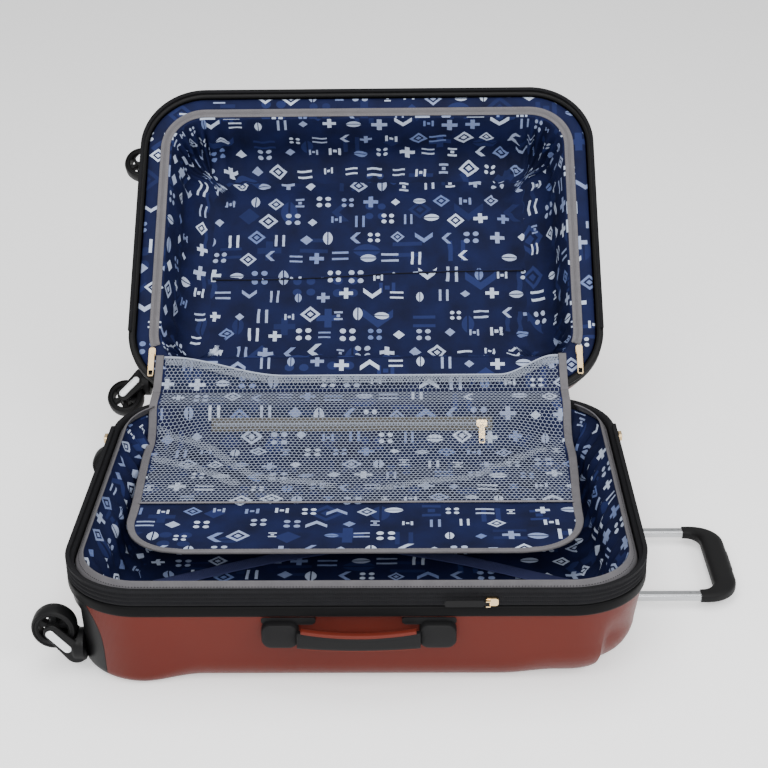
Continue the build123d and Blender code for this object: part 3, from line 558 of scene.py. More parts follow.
# Rows of beads along a path, for stitches and zip teeth
def beadTree():
    path, pitch, size, finish = startTree("beadRow", Pitch="Float", Size="Vector")
    curve = path.add("GeometryNodeMeshToCurve", {"Mesh": path})
    spots = path.add("GeometryNodeResampleCurve", {"Curve": curve, "Length": pitch}, {"mode": "LENGTH"})
    bead = path.add("GeometryNodeMeshUVSphere", {"Segments": 6, "Rings": 4, "Radius": 0.5})
    tangent = path.add("GeometryNodeInputTangent")
    face = path.add("GeometryNodeInputNamedAttribute", {"Name": "outward"}, {"data_type": "FLOAT_VECTOR"})
    turn = path.add("FunctionNodeAlignRotationToVector", {"Vector": tangent}, {"axis": "X"})
    turn = path.add("FunctionNodeAlignRotationToVector", {"Rotation": turn, "Vector": face},
                    {"axis": "Z", "pivot_axis": "X"})
    beads = path.add("GeometryNodeInstanceOnPoints",
                     {"Points": spots, "Instance": bead, "Rotation": turn, "Scale": size})
    return endTree(beads, finish)


beadRows = beadTree()


def treePiece(name, points, edges, tree, finish, attributes=None, **inputs):
    # lines of points given their body by a node tree, then made a plain mesh
    mesh = bpy.data.meshes.new(name)
    mesh.from_pydata(np.asarray(points, float).tolist(), edges, [])
    for key, values in (attributes or {}).items():
        mesh.attributes.new(key, "FLOAT_VECTOR", "POINT")
        mesh.attributes[key].data.foreach_set("vector", np.asarray(values, float).ravel())
    piece = bpy.data.objects.new(name, mesh)
    bpy.context.scene.collection.objects.link(piece)
    grow = piece.modifiers.new("grow", "NODES")
    grow.node_group = tree
    sockets = {s.name: s.identifier for s in tree.interface.items_tree if s.in_out == "INPUT"}
    for key, value in inputs.items():
        grow[sockets[key]] = value
    grow[sockets["Material"]] = finishes[finish]
    settle(piece, name)
    piece.data.shade_smooth()
    return piece


def beadPiece(name, path, facing, pitch, size, finish):
    count = len(path)
    edges = [(k, k + 1) for k in range(count - 1)]
    facing = np.broadcast_to(np.asarray(facing, float), (count, 3))
    return treePiece(name, path, edges, beadRows, finish, {"outward": facing}, Pitch=pitch, Size=size)


# Rims, zips and the grey lip
rimLook = dict(
    inner=0.009,  # how far in the bands and the gusset reach
    baseBand=((0.0026, 0.0212), (0.0012, 0.0216), (0.0004, 0.0226), (0.0001, 0.0245), (0.0001, 0.0318),
              (0.0005, 0.0336), (0.0014, 0.0346), (0.0027, 0.0349), (0.0027, 0.0302)),
    baseBandInner=(0.0212, 0.0299),
    lidBand=((0.0022, 0.0053), (0.0008, 0.0058), (0.0001, 0.0072), (0.0004, 0.0088), (0.0016, 0.0098),
             (0.0022, 0.0118), (0.0016, 0.0138), (0.0005, 0.0150), (0.0001, 0.0166), (0.0001, 0.0196),
             (0.0009, 0.0208), (0.0027, 0.0211), (0.0027, 0.0164)),
    lidBandInner=(0.0053, 0.0161),
    gusset=(0.0054, 0.0206), ridges=3, ridge=0.0013, skin=0.0002,
    zipEnd=0.98, teethAt=(0.0022, 0.0009), teeth=0.0024, toothSize=(0.0015, 0.0042, 0.0012),
    stitch=0.0042, stitchSize=(0.0026, 0.0007, 0.0006),
)


def rimRing(name, place, outer, inner, finish):
    # an outside line of inset and depth, closed by two points further in
    line = [(rimLook["inner"], inner[0]), *outer, (rimLook["inner"], inner[1])]
    return ringPiece(name, place, line, finish)


def rims():
    look = rimLook
    band = rimRing("rimBand", onBase, look["baseBand"], look["baseBandInner"], "lowRim")
    finishPiece(band, "base", "rim", "base_rim_band")
    # soft ridges down the folded gusset
    depths = np.linspace(*look["gusset"], 31)
    part = (depths - depths[0]) / (depths[-1] - depths[0])
    waves = 0.5 + 0.5 * np.cos(part * 2 * look["ridges"] * math.pi + math.pi)
    outer = [(look["skin"] + look["ridge"] * (1 - wave), depth) for wave, depth in zip(waves, depths)]
    gusset = rimRing("gussetRidges", onBase, outer, look["gusset"], "zipTape")
    finishPiece(gusset, "base", "rim", "expansion_gusset")
    band = rimRing("lidRimBand", onLid, look["lidBand"], look["lidBandInner"], "rim")
    finishPiece(band, "lid", "rim", "lid_rim_band")


def notHinge(x, y):
    return y < halfWidth - caseShape["rimCorner"] * rimLook["zipEnd"]


def zipTeeth():
    for name, place, body in (("baseZipTeeth", onBase, "base"), ("lidZipTeeth", onLid, "lid")):
        path = rimPath(place, *rimLook["teethAt"], notHinge)
        facing = place(0.0, 0.0, -1.0) - place(0.0, 0.0, 0.0)
        row = beadPiece(name, path, facing, rimLook["teeth"], rimLook["toothSize"], "black")
        finishPiece(row, body, "zip_black")


def baseLip():
    # leaning grey band, with a soft outward bow and its seam
    lip = dict(foot=(0.0098, 0.0134), top=(0.0190, 0.0004), wall=(0.00136, 0.00079), bow=0.0007,
               seam=(0.0147, 0.0053), pitch=0.0034, stitch=(0.0017, 0.0008, 0.0010), back=0.10, clear=0.014)
    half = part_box("divider_binding")[1][0] + lip["clear"]

    def keep(x, y):
        # all round but behind the divider
        return (y < lip["back"]) | (np.abs(x) > half)

    foot, top, wall = (np.array(lip[key]) for key in ("foot", "top", "wall"))
    rise = np.linspace(0, 0.94, 5)[:, None]
    front = foot + (top - foot) * rise - np.concatenate((lip["bow"] * np.sin(rise * math.pi), 0 * rise), 1)
    crest = np.array((top + (0.0002, -0.0004), top + wall + (0.0002, -0.0002)))
    profile = np.concatenate((front, crest, (front + wall)[::-1]))
    band = ringPiece("baseLip", onBase, profile, "lip", keep)
    finishPiece(band, "base", "tape", "base_binding")
    seam = rimPath(onBase, *lip["seam"], keep)
    stitches = beadPiece("lipStitches", seam, (0.0, 0.0, 1.0), lip["pitch"], lip["stitch"], "zipTape")
    finishPiece(stitches, "base", "tape")


# Linings
liningLook = dict(fold=0.027, thick=0.0007, step=0.0055, flatStep=0.0016, swell=0.055, inner=0.012,
                  cornerLong=(0.17, 0.06), cornerShort=(0.16, 0.05))


def tubPiece(name, place, profile, shift):
    # rows go down the wall and over the floor; shift moves a row in and down
    step = liningLook["step"]
    edgeX, edgeY = rimLoop(0, step)
    along = runLength(np.stack((edgeX, edgeY), 1), True)
    rows, planX, planY = [], [], []
    for inset, depth in profile:
        drawn, drop = shift(edgeX, edgeY, along[:-1], inset, depth)
        rows.append(place(*movedIn(inset, drawn, step), depth + drop))
        x, y = rimLoop(inset, step)
        planX.append(np.append(x, x[0]))
        planY.append(np.append(y, y[0]))
    u = edgePairs(np.tile(along, (len(profile), 1)))
    v = edgePairs(np.tile(runLength(profile)[:, None], (1, len(along))))
    # flat stretches take the print straight from above
    depths = np.array([depth for inset, depth in profile])
    flat = np.abs(np.diff(depths)) < liningLook["flatStep"]
    u[flat] = edgePairs(np.array(planX))[flat]
    v[flat] = edgePairs(np.array(planY))[flat]
    capMap = (planX[-1][:-1], planY[-1][:-1])
    return gridPiece(name, np.array(rows), u, v, "lining", aroundColumns=True, capMap=capMap)


def corners(x, y):
    # one at the corners of a half, none along its sides
    longWay = smooth(np.abs(x), *(halfLength - reach for reach in liningLook["cornerLong"]))
    return longWay * smooth(np.abs(y), *(halfWidth - reach for reach in liningLook["cornerShort"]))


def foldWave(along, seed):
    drift = np.array([noise.noise(Vector((a * 9.0, seed, 0.0))) for a in along])
    return np.sin(along / liningLook["fold"] * 2 * math.pi + drift * 5.0), drift


def tubProfile(look, floorAt):
    # inset and depth from the sewn top down the wall, round the turn and over the floor
    points = list(look["top"])
    inset, wallTop = look["wall"]
    radius = look["turn"]
    turnAt = floorAt - radius
    for k in range(look["rows"]):
        depth = wallTop + (turnAt - wallTop) * k / look["rows"]
        swell = look["bulge"] * math.sin(math.pi * min(max((depth - wallTop) / liningLook["swell"], 0), 1))
        points.append((inset + look["slope"] * (depth - wallTop) + swell, depth))
    foot = inset + look["slope"] * (turnAt - wallTop)
    for k in range(9):
        bend = math.pi / 2 * k / 8
        points.append((foot + radius * 1.2 * (1 - math.cos(bend)), turnAt + radius * math.sin(bend)))
    last = points[-1][0]
    inner = halfWidth - liningLook["inner"]
    points += [(last + (inner - last) * k / 14, floorAt) for k in range(1, 15)]
    return points


def baseLining():
    look = dict(top=((0.0096, 0.0150), (0.0112, 0.0146), (0.0130, 0.0146)), wall=(0.0148, 0.0155), rows=14,
                slope=0.37, turn=0.026, bulge=0.006, underStraps=0.0012, cornerFold=0.0075, wallFold=0.0020,
                sag=0.0022, cornerPull=0.0015, ripple=0.0012, rippleSize=0.03,
                down=(0.016, 0.045), wallEnd=(0.075, 0.12), floorStart=(0.06, 0.1))
    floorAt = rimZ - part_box("tie_straps")[0][2] + look["underStraps"]

    def shift(x, y, along, inset, depth):
        wave, drift = foldWave(along, 3.1)
        corner = corners(x, y)
        down = smooth(depth, *look["down"])
        wall = 1 - smooth(inset, *look["wallEnd"])
        amount = look["wallFold"] + (look["cornerFold"] - look["wallFold"]) * corner
        fold = amount * wave * down * wall
        sag = look["sag"] * drift * down * wall
        ripples = ripple(np.stack((x - inset * 2, y, 0 * x + depth), -1), look["rippleSize"], 5.0)
        drop = -look["ripple"] * np.abs(ripples) * smooth(inset, *look["floorStart"])
        return fold + sag - look["cornerPull"] * corner * down, drop

    piece = tubPiece("baseCloth", onBase, tubProfile(look, floorAt), shift)
    thicken(piece, liningLook["thick"])
    finishPiece(piece, "base", "lining", "base_lining")


def lidLining():
    look = dict(top=((0.0107, 0.0112), (0.0125, 0.0098), (0.0170, 0.0091), (0.0225, 0.0094), (0.0270, 0.0104),
                     (0.0345, 0.0108), (0.0415, 0.0106)), wall=(0.0430, 0.0118), rows=13,
                slope=0.22, turn=0.042, bulge=0.002, overShell=0.0095, wallFold=0.0010, cornerFold=0.0045,
                sag=0.0015, ripple=0.0034, rippleSize=0.05, down=(0.016, 0.05), floorStart=(0.09, 0.14),
                seam=0.2245, seamHalf=0.226, sway=(0.006, 9), crease=0.0022, creaseWidth=0.0025)
    floorAt = caseShape["lidDepth"] - look["overShell"]
    seamY = hingeY - look["seam"]

    def seamSway(x):
        return look["sway"][0] * np.sin(x * look["sway"][1])

    def floorRipple(x, y):
        ripples = ripple(np.stack((x, y, 0 * x), -1), look["rippleSize"], 11.0)
        return look["ripple"] * np.maximum(ripples, 0)

    def shift(x, y, along, inset, depth):
        wave, drift = foldWave(along, 7.7)
        down = smooth(depth, *look["down"])
        floor = smooth(inset, *look["floorStart"])
        fold = (look["wallFold"] + look["cornerFold"] * corners(x, y)) * wave * down * (1 - floor)
        lineX, lineY = rimLoop(inset, liningLook["step"])
        crease = np.tanh((lineY - seamY + seamSway(lineX)) / look["creaseWidth"])
        drop = (look["crease"] * (crease - 1) - floorRipple(lineX, lineY)) * floor
        return fold + look["sag"] * drift * down, drop

    # the floor's two cloths are sewn together: a low tuck, with a thin black strip under it as the seam's
    # painted shadow
    x = np.linspace(-look["seamHalf"], look["seamHalf"], 120)
    for name, off, half, thick, finish in (("lidTuck", -0.0018, 0.0021, 0.0028, "lining"),
                                           ("lidSeam", 0.0006, 0.0006, 0.0022, "zipTape")):
        y = seamY + off - seamSway(x)
        middle = onLid(x, y, floorAt - look["crease"] - floorRipple(x, y))
        finishPiece(ribbon(name, middle, lidUp, -lidIn, half, thick, finish), "lid", "lining")

    piece = tubPiece("lidCloth", onLid, tubProfile(look, floorAt), shift)
    thicken(piece, liningLook["thick"])
    finishPiece(piece, "lid", "lining", "lid_lining")


# Grey zip tape round the mouth of the lid
def lidTape():
    look = dict(inset=0.028, width=0.013, depth=0.0091, thick=0.0013, end=0.055, teeth=0.0019,
                toothSize=(0.0013, 0.0042, 0.0013))

    def keep(x, y):
        return y < hingeY - look["end"]

    low = (look["inset"], look["depth"] - look["thick"] / 2)
    high = (look["inset"] + look["width"], look["depth"] + look["thick"] / 2)
    tape = ringPiece("lidTape", onLid, roundProfile(low, high, 0.0005), "tape", keep)
    finishPiece(tape, "lid", "tape", "divider_tape")
    middle = rimPath(onLid, look["inset"] + look["width"] / 2, low[1] - 0.0002, keep)
    teeth = beadPiece("lidTapeTeeth", middle, -lidIn, look["teeth"], look["toothSize"], "tape")
    finishPiece(teeth, "lid", "tape")
    for name, part in (("lidTapeSeamOuter", 0.14), ("lidTapeSeamInner", 0.86)):
        seam = rimPath(onLid, look["inset"] + look["width"] * part, low[1], keep)
        stitches = beadPiece(name, seam, -lidIn, rimLook["stitch"], rimLook["stitchSize"], "thread")
        finishPiece(stitches, "lid", "tape")


rims()
zipTeeth()
baseLip()
baseLining()
lidLining()
lidTape()
print("rims and linings")

# Divider: side view as offsets from the hinge line, and the net that hangs over it
dividerLook = dict(
    fall=((-0.0019, 0.0019), (-0.035, -0.001), (-0.062, -0.044), (-0.118, -0.047), (-0.330, -0.042)),
    bends=(0.016, 0.022, 0.060), corner=0.078, thick=0.0016, edge=0.0105, frontEdge=0.0075, edgeThick=0.0034,
    lap=0.0024, seam=0.0016, sway=0.0035, swayTurn=17.0, wave=0.0026, fineWave=0.0007,
    pocket=dict(top=(0.065, 0.07), bottom=(0.176, 0.182), half=0.205, middle=0.006, rise=0.0012),
)
panelLow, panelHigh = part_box("divider_panel")
panelMiddle = (panelLow[0] + panelHigh[0]) / 2
panelHalf = (panelHigh[0] - panelLow[0]) / 2


def bentPath(points, radii, step):
    # straight runs joined by round bends, as evenly spaced points of y and z
    points = [np.array(p) + (hingeY, rimZ) for p in points]
    line = [points[0]]
    for before, here, after, radius in zip(points, points[1:], points[2:], radii):
        back, on = unit(before - here), unit(after - here)
        half = math.acos(np.clip(back @ on, -1, 1)) / 2
        reach = radius / math.tan(half)
        for t in np.linspace(0, 1, 9):
            a, b = here + back * reach, here + on * reach
            line.append(a * (1 - t) ** 2 + here * 2 * t * (1 - t) + b * t * t)
    line.append(points[-1])
    line = np.array(line)
    run = runLength(line)
    at = np.linspace(0, run[-1], int(run[-1] / step) + 1)
    return np.stack([np.interp(at, run, line[:, k]) for k in (0, 1)], -1), at


def normals(path):
    tangent = unit(np.gradient(path, axis=0))
    return np.stack((tangent[:, 1], -tangent[:, 0]), -1)


def halfAt(fromFront):
    # half width of the divider, less near its rounded front corners
    r = dividerLook["corner"]
    d = np.clip(fromFront, 0, r)
    return panelHalf - r + np.sqrt(np.maximum(r * r - (r - d) ** 2, 0))


def sideSway(run):
    # the soft edge wanders a little on its way down
    return dividerLook["sway"] * np.sin(run * dividerLook["swayTurn"]) * smooth(run, 0.05, 0.12)


def dividerFall(step):
    # the divider's side view, the length down it, and its half width there
    path, run = bentPath(dividerLook["fall"], dividerLook["bends"], step)
    half = halfAt(run[-1] - run) + sideSway(run) * smooth(run[-1] - run, 0.0, 0.06)
    return path, run, half


def dividerSheet():
    path, run, half = dividerFall(0.005)
    across = np.linspace(-1, 1, 111)
    x = panelMiddle + half[:, None] * across
    y = np.repeat(path[:, :1], len(across), 1)
    z = np.repeat(path[:, 1:], len(across), 1)
    away = smooth(run, 0.03, 0.12)[:, None] * smooth(1 - np.abs(across), 0.02, 0.12)
    away = away * smooth(run[-1] - run, 0.004, 0.03)[:, None]
    spots = np.stack((x, y, z), -1)
    waves = ripple(spots, 0.07, 2.0) * dividerLook["wave"]
    waves = waves + ripple(spots, 0.025, 9.0) * dividerLook["fineWave"]
    # the zipped pocket's second cloth stands a little proud
    pocket = dividerLook["pocket"]
    inPocket = smooth(run[:, None], *pocket["top"]) * (1 - smooth(run[:, None], *pocket["bottom"]))
    inPocket = smooth(pocket["half"] - np.abs(x - pocket["middle"]), 0.0, 0.006) * inPocket
    z = z + waves * away + inPocket * pocket["rise"]
    v = np.repeat(-run[:, None], len(across), 1)
    points = np.stack((x, y, z), -1)
    piece = gridPiece("dividerCloth", points, edgePairs(x), edgePairs(v), "lining")
    thicken(piece, dividerLook["thick"])
    finishPiece(piece, "divider", "lining", "divider_panel")


def dividerEdge():
    # tape folded over the divider's edge: down the left side, round the front and up the right side
    path, half = dividerFall(0.004)[::2]
    left = np.stack((panelMiddle - half, path[:, 0], path[:, 1]), -1)
    right = left * (-1, 1, 1) + (2 * panelMiddle, 0, 0)
    front = np.linspace(left[-1], right[-1], 80)[1:-1]
    line = np.concatenate((left, front, right[::-1]))
    # even steps, because the rounded corners come out coarse
    at = runLength(line)
    even = np.linspace(0, at[-1], 420)
    line = np.stack([np.interp(even, at, line[:, k]) for k in range(3)], -1)
    tangent = unit(np.gradient(line, axis=0))
    lean, stand = (np.interp(line[:, 1], path[::-1, 0], normals(path)[::-1, k]) for k in (0, 1))
    normal = np.stack((0 * lean, lean, stand), -1)
    normal = unit(normal - tangent * np.sum(normal * tangent, 1)[:, None])
    inward = np.cross(normal, tangent)
    atFront = smooth(line[:, 1].min() + 0.10 - line[:, 1], 0, 0.08)
    wide = dividerLook["edge"] + (dividerLook["frontEdge"] - dividerLook["edge"]) * atFront
    middle = line + inward * (wide / 2 - dividerLook["lap"])[:, None]
    tape = ribbon("dividerEdgeTape", middle, inward, normal, wide / 2, dividerLook["edgeThick"], "tape")
    finishPiece(tape, "divider", "tape", "divider_binding")
    seam = middle + inward * (wide / 2 - dividerLook["seam"])[:, None] + normal * dividerLook["edgeThick"] / 2
    stitches = beadPiece("dividerEdgeStitches", seam, normal, rimLook["stitch"], rimLook["stitchSize"],
                         "thread")
    finishPiece(stitches, "divider", "tape")


dividerSheet()
dividerEdge()
print("divider")


# Net pocket: hexagons drawn flat, laid on the drape and given thread by a node tree
netLook = dict(
    fall=((-0.0022, 0.0025), (-0.041, 0.0024), (-0.070, -0.030), (-0.126, -0.0355), (-0.218, -0.0420)),
    bends=(0.014, 0.026, 0.070), cell=0.0056,
    tight=((-0.0022, 0.0025), (-0.037, 0.0024), (-0.080, -0.014), (-0.140, -0.0325), (-0.218, -0.0420)),
    tightBends=(0.03, 0.06, 0.08), sides=0.075, slack=0.0022, deepest=-0.0010, thread=0.0004, inset=0.009,
    fold=0.0068, foldCell=0.78, foldLift=0.0012, hem=0.0135, hemRise=0.0245, hemSlack=0.030, hemTop=0.06,
    hems=dict(netHem=(0.66, 0.0010), netHemOver=(0.79, 0.0018)),
    elastic=(0.0012, 0.0016), elasticLift=0.0012, seam=(0.0016, 0.0012), seamLift=0.0005, seamUp=0.0006,
    folds=(((-0.262, 0.072), (-0.19, 0.118), (-0.13, 0.172), (-0.03, 0.196)),
           ((-0.262, 0.130), (-0.20, 0.158), (-0.15, 0.188)),
           ((0.03, 0.200), (0.14, 0.178), (0.235, 0.118))),
)


def threadTree():
    lines, radius, finish = startTree("netThreads", Radius="Float")
    curve = lines.add("GeometryNodeMeshToCurve", {"Mesh": lines})
    section = lines.add("GeometryNodeCurvePrimitiveCircle", {"Resolution": 3, "Radius": radius})
    thread = lines.add("GeometryNodeCurveToMesh", {"Curve": curve, "Profile Curve": section})
    return endTree(thread, finish)


netThreads = threadTree()


def hexLines(width, low, high, cell, inside):
    # corners and edges of a hexagon field over x from -width to width and v from low to high
    side = cell / math.sqrt(3)
    ends, edges = {}, set()

    def corner(x, v):
        key = (round(x / cell * 6), round(v / side * 6))
        return ends.setdefault(key, (len(ends), x, v))[0]

    rows = int((high - low) / (1.5 * side)) + 2
    columns = int(2 * width / cell) + 2
    for row in range(rows):
        for column in range(columns):
            x = -width + (column + 0.5 * (row % 2)) * cell
            v = low + row * 1.5 * side
            ring = [(x + cell / 2 * dx, v + side * dv) for dx, dv in
                    ((0, 1), (1, 0.5), (1, -0.5), (0, -1), (-1, -0.5), (-1, 0.5))]
            for k in range(6):
                a, b = ring[k], ring[(k + 1) % 6]
                if inside(*a) and inside(*b):
                    edges.add(tuple(sorted((corner(*a), corner(*b)))))
    flat = np.array([spot[1:] for spot in sorted(ends.values())])
    return flat, sorted(edges)


def netPiece(name, field, lay):
    flat, edges = field
    return treePiece(name, lay(flat[:, 0], flat[:, 1]), edges, netThreads, "net", Radius=netLook["thread"])


def netHem(x):
    # how far up the lid the slack hem hangs
    left, right = smooth(panelMiddle - x, 0.10, 0.262), smooth(x - panelMiddle, 0.185, 0.262)
    return netLook["hemRise"] + netLook["hemSlack"] * np.maximum(left, right)


# the sewn edge goes down into the lid from the hinge cord
flapLook = dict(top=0.0015, fall=0.0077, begin=0.003, reach=0.052,
                netTop=0.0033, netLift=0.0011, netReach=0.03,
                length=0.0545, cord=0.0026, thick=0.0009, tape=(-0.001, 0.058), tapeCord=0.0030,
                tapeRise=0.0018, tapeThick=0.0028)


def flapDepth(along):
    part = np.clip((along - flapLook["begin"]) / flapLook["reach"], 0, 1)
    return flapLook["top"] + flapLook["fall"] * part


def flapNetDepth(along):
    # the net leaves the hinge cord and comes down on the flap
    laid = smooth(along, 0.0, flapLook["netReach"])
    return -flapLook["netTop"] + (flapDepth(along) + flapLook["netLift"]) * laid


def netPocket():
    path, run = bentPath(netLook["fall"], netLook["bends"], 0.004)
    total = run[-1]
    up = normals(path)
    tight, tightRun = bentPath(netLook["tight"], netLook["tightBends"], 0.004)
    tightRun = tightRun * total / tightRun[-1]
    width = panelHalf - netLook["inset"]
    cell = netLook["cell"]
    start = cell / math.sqrt(12)  # the threads of both nets end on the hinge line

    def nearFold(x, v):
        spot = np.array((x, v))
        for line in netLook["folds"]:
            for a, b in zip(np.array(line), np.array(line[1:])):
                t = np.clip((spot - a) @ (b - a) / ((b - a) @ (b - a)), 0, 1)
                if np.linalg.norm(a + (b - a) * t - spot) < netLook["fold"]:
                    return True
        return False

    def lay(lift):
        def onDrape(x, v):
            # tight across the hollow, held down at both sides
            free = smooth(width - np.abs(x), 0.0, netLook["sides"])
            y, z = (np.interp(v, run, path[:, k]) * (1 - free) + np.interp(v, tightRun, tight[:, k]) * free
                    for k in (0, 1))
            spot = np.stack((x + panelMiddle, y, z), -1)
            slack = ripple(spot, 0.06, 21.0) * netLook["slack"] * smooth(v, 0.0, 0.05)
            rise = np.maximum(slack * smooth(total - v, 0.0, 0.04), netLook["deepest"]) + lift
            spot[:, 1] += np.interp(v, run, up[:, 0]) * rise
            spot[:, 2] += np.interp(v, run, up[:, 1]) * rise
            return spot
        return onDrape

    def onFlap(lift):
        def laid(x, v):
            return onLid(x + panelMiddle, hingeY - v, flapNetDepth(v) - lift)
        return laid

    def onNet(x, v):
        return abs(x) < width and -1e-6 < v < total

    def onFold(x, v):
        return onNet(x, v) and nearFold(x, v)

    def onRise(x, v):
        return abs(x) < width and -1e-6 < v < netHem(x + panelMiddle)

    def onHem(x, v):
        edge = netHem(x + panelMiddle)
        return abs(x) < width and edge - netLook["hem"] < v < edge

    net = finishPiece(netPiece("netDrop", hexLines(width, start, total, cell, onNet), lay(0.0)),
                      "divider", "net", "mesh_pocket")
    folds = hexLines(width, 0, total, cell * netLook["foldCell"], onFold)
    finishPiece(netPiece("netFolds", folds, lay(netLook["foldLift"])), "divider", "net")
    rise = hexLines(width, start, netLook["hemTop"], cell, onRise)
    finishPiece(netPiece("netRise", rise, onFlap(0.0)), "lid", "net")
    for name, (size, lift) in netLook["hems"].items():
        field = hexLines(width, 0, netLook["hemTop"], cell * size, onHem)
        finishPiece(netPiece(name, field, onFlap(lift)), "lid", "net")
    x = np.linspace(-width, width, 140)
    along = netHem(x + panelMiddle)
    middle = onLid(x + panelMiddle, hingeY - along, flapNetDepth(along) - netLook["elasticLift"])
    elastic = ribbon("netElastic", middle, lidUp, -lidIn, *netLook["elastic"], "net")
    finishPiece(elastic, "lid", "net")
    seam = lay(netLook["seamLift"])(x, np.full(len(x), total - netLook["seamUp"]))
    across, stand = np.array((0.0, 1.0, 0.0)), unit(np.array((0.0, 0.05, 1.0)))
    band = ribbon("netSeam", seam, across, stand, *netLook["seam"], "thread")
    finishPiece(band, "divider", "net")


# Sewn edge of the divider on the lid, with its two side tapes
def rootFlap():
    look = flapLook
    along = np.linspace(0.0, look["length"], 18)
    depth = -look["cord"] + (flapDepth(along) + look["cord"]) * smooth(along, 0.0, 0.012)
    x = np.linspace(panelLow[0], panelHigh[0], 90)
    points = onLid(x[None, :], hingeY - along[:, None], depth[:, None] + 0 * x)
    u = np.tile(x, (len(along), 1))
    v = np.tile(along[:, None], (1, len(x)))
    piece = gridPiece("rootFlapCloth", points, edgePairs(u), edgePairs(v), "lining")
    thicken(piece, look["thick"])
    finishPiece(piece, "lid", "lining", "divider_root_flap")
    for name, edge, sign in (("rootTapeLeft", panelLow[0], 1), ("rootTapeRight", panelHigh[0], -1)):
        half = dividerLook["edge"] / 2
        line = np.linspace(*look["tape"], 24)
        depth = -look["tapeCord"] + (flapDepth(line) + look["tapeRise"]) * smooth(line, 0.0, 0.014)
        middle = onLid(np.full(len(line), edge + sign * (half - dividerLook["lap"])), hingeY - line, depth)
        side = np.array((float(sign), 0.0, 0.0))
        tape = ribbon(name, middle, side, -lidIn, half, look["tapeThick"], "tape")
        finishPiece(tape, "lid", "tape")


# Textile hinge: a web on the base rim, rolled round its cord
def hingeWeb():
    look = dict(half=0.233, drops=(0.0208, 0.010, 0.004), face=0.0006, thick=0.0011, cord=0.0023, turns=14,
                wave=0.0003, waves=210.0)
    bends = np.radians(np.linspace(-150, 150, look["turns"]))
    roll = np.stack((look["cord"] * np.sin(bends), look["cord"] * np.cos(bends)), 1)
    inner = np.array([(-look["face"], -drop) for drop in look["drops"]])
    outer = inner[::-1] + (look["thick"], 0)
    profile = np.concatenate((inner, roll, outer))
    x = np.linspace(-look["half"], look["half"], 120)
    wave = look["wave"] * np.sin(x * look["waves"])
    rows = [np.stack((x, hingeY + py + wave, np.full(len(x), rimZ + pz)), -1) for py, pz in profile]
    web = sweptPiece("hingeWeb", np.array(rows), profile, "zipTape", False)
    finishPiece(web, "base", "zip_black", "hinge_cord_web")


# Zipped pocket under the net
def pocketZip():
    look = dict(end=0.004, rise=0.0009, teeth=0.0021, toothSize=(0.0014, 0.0050, 0.0012))
    low, high = (np.array(corner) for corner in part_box("pocket_zip"))
    run = np.linspace(low[0] + look["end"], high[0] - look["end"], 60)
    middle = (low + high) / 2
    slope = np.array((0.0, -0.8469, 0.5317))  # out of the divider where the zip lies
    path = np.stack((run, 0 * run + middle[1], 0 * run + middle[2]), -1) + slope * look["rise"]
    teeth = beadPiece("pocketZipTeeth", path, slope, look["teeth"], look["toothSize"], "net")
    finishPiece(teeth, "divider", "tape")


# Tie straps on the base floor
def tieStraps():
    strap = dict(width=0.020, thick=0.0013, buckle=(0.002, 0.026), start=0.024, arch=0.0035,
                 ends=((-0.244, -0.066), (0.246, -0.066), (-0.232, 0.118), (0.236, 0.118)))
    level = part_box("tie_straps")[0][2] + strap["thick"] / 2
    centre = np.array(strap["buckle"])
    for index, end in enumerate(strap["ends"]):
        way = np.array(end) - centre
        length = np.hypot(*way)
        way = way / length
        at = np.linspace(strap["start"], length, 40)
        lift = strap["arch"] * np.sin(at / length * math.pi) ** 2
        middle = np.stack((centre[0] + way[0] * at, centre[1] + way[1] * at, level + lift), -1)
        side = np.array((-way[1], way[0], 0.0))
        normal = np.cross(unit(np.gradient(middle, axis=0)), side)
        half, thick = strap["width"] / 2, strap["thick"]
        web = ribbon(f"tieStrap{index + 1}", middle, side, normal, half, thick, "strap")
        finishPiece(web, "base", "strap", *(("tie_straps",) if index == 0 else ()))


netPocket()
rootFlap()
hingeWeb()
pocketZip()
tieStraps()
print("net, flap, hinge and straps")

# Hard shells, drawn in each half's x, y and depth: fuller at the wheel corners, flatter between
shellLook = dict(startInset=0.003, wall=0.0028, foot=0.016, edge=0.032, endEdge=0.045, cornerEdge=0.051,
                 fullFoot=0.0105, fullEdge=0.015, groove=0.0075, grooveAt=0.284, grooveFade=(0.006, 0.024),
                 grooveDeep=(0.045, 0.09), wheelEnd=(0.170, 0.235), trolleyEnd=(0.16, 0.22),
                 trolleyCorner=(0.272, 0.296), outerSide=(0.11, 0.16), tuck=0.002, step=0.007,
                 faceRings=(0.075, 0.105, 0.14, 0.18, 0.215))
housingLook = dict(gap=0.0005, wall=0.0035, back=0.0025, run=0.104, face=-0.302, pocket=0.0535, side=0.186,
                   up=0.030, top=-0.2985, foot=-0.2765, sweep=2.4, sweepPart=0.63, flatten=0.02,
                   past=(-0.42, 0.30), pocketPast=-0.45)
carryLook = dict(middle=0.005, half=0.1035, top=0.0955, bottom=0.057, back=-0.2146, corner=0.011, gap=0.0003,
                 thick=0.0012)
# place, depth, and the depth under the rim band where the shell starts
halves = dict(base=(onBase, rimZ, 0.0305), lid=(onLid, caseShape["lidDepth"], 0.0167))


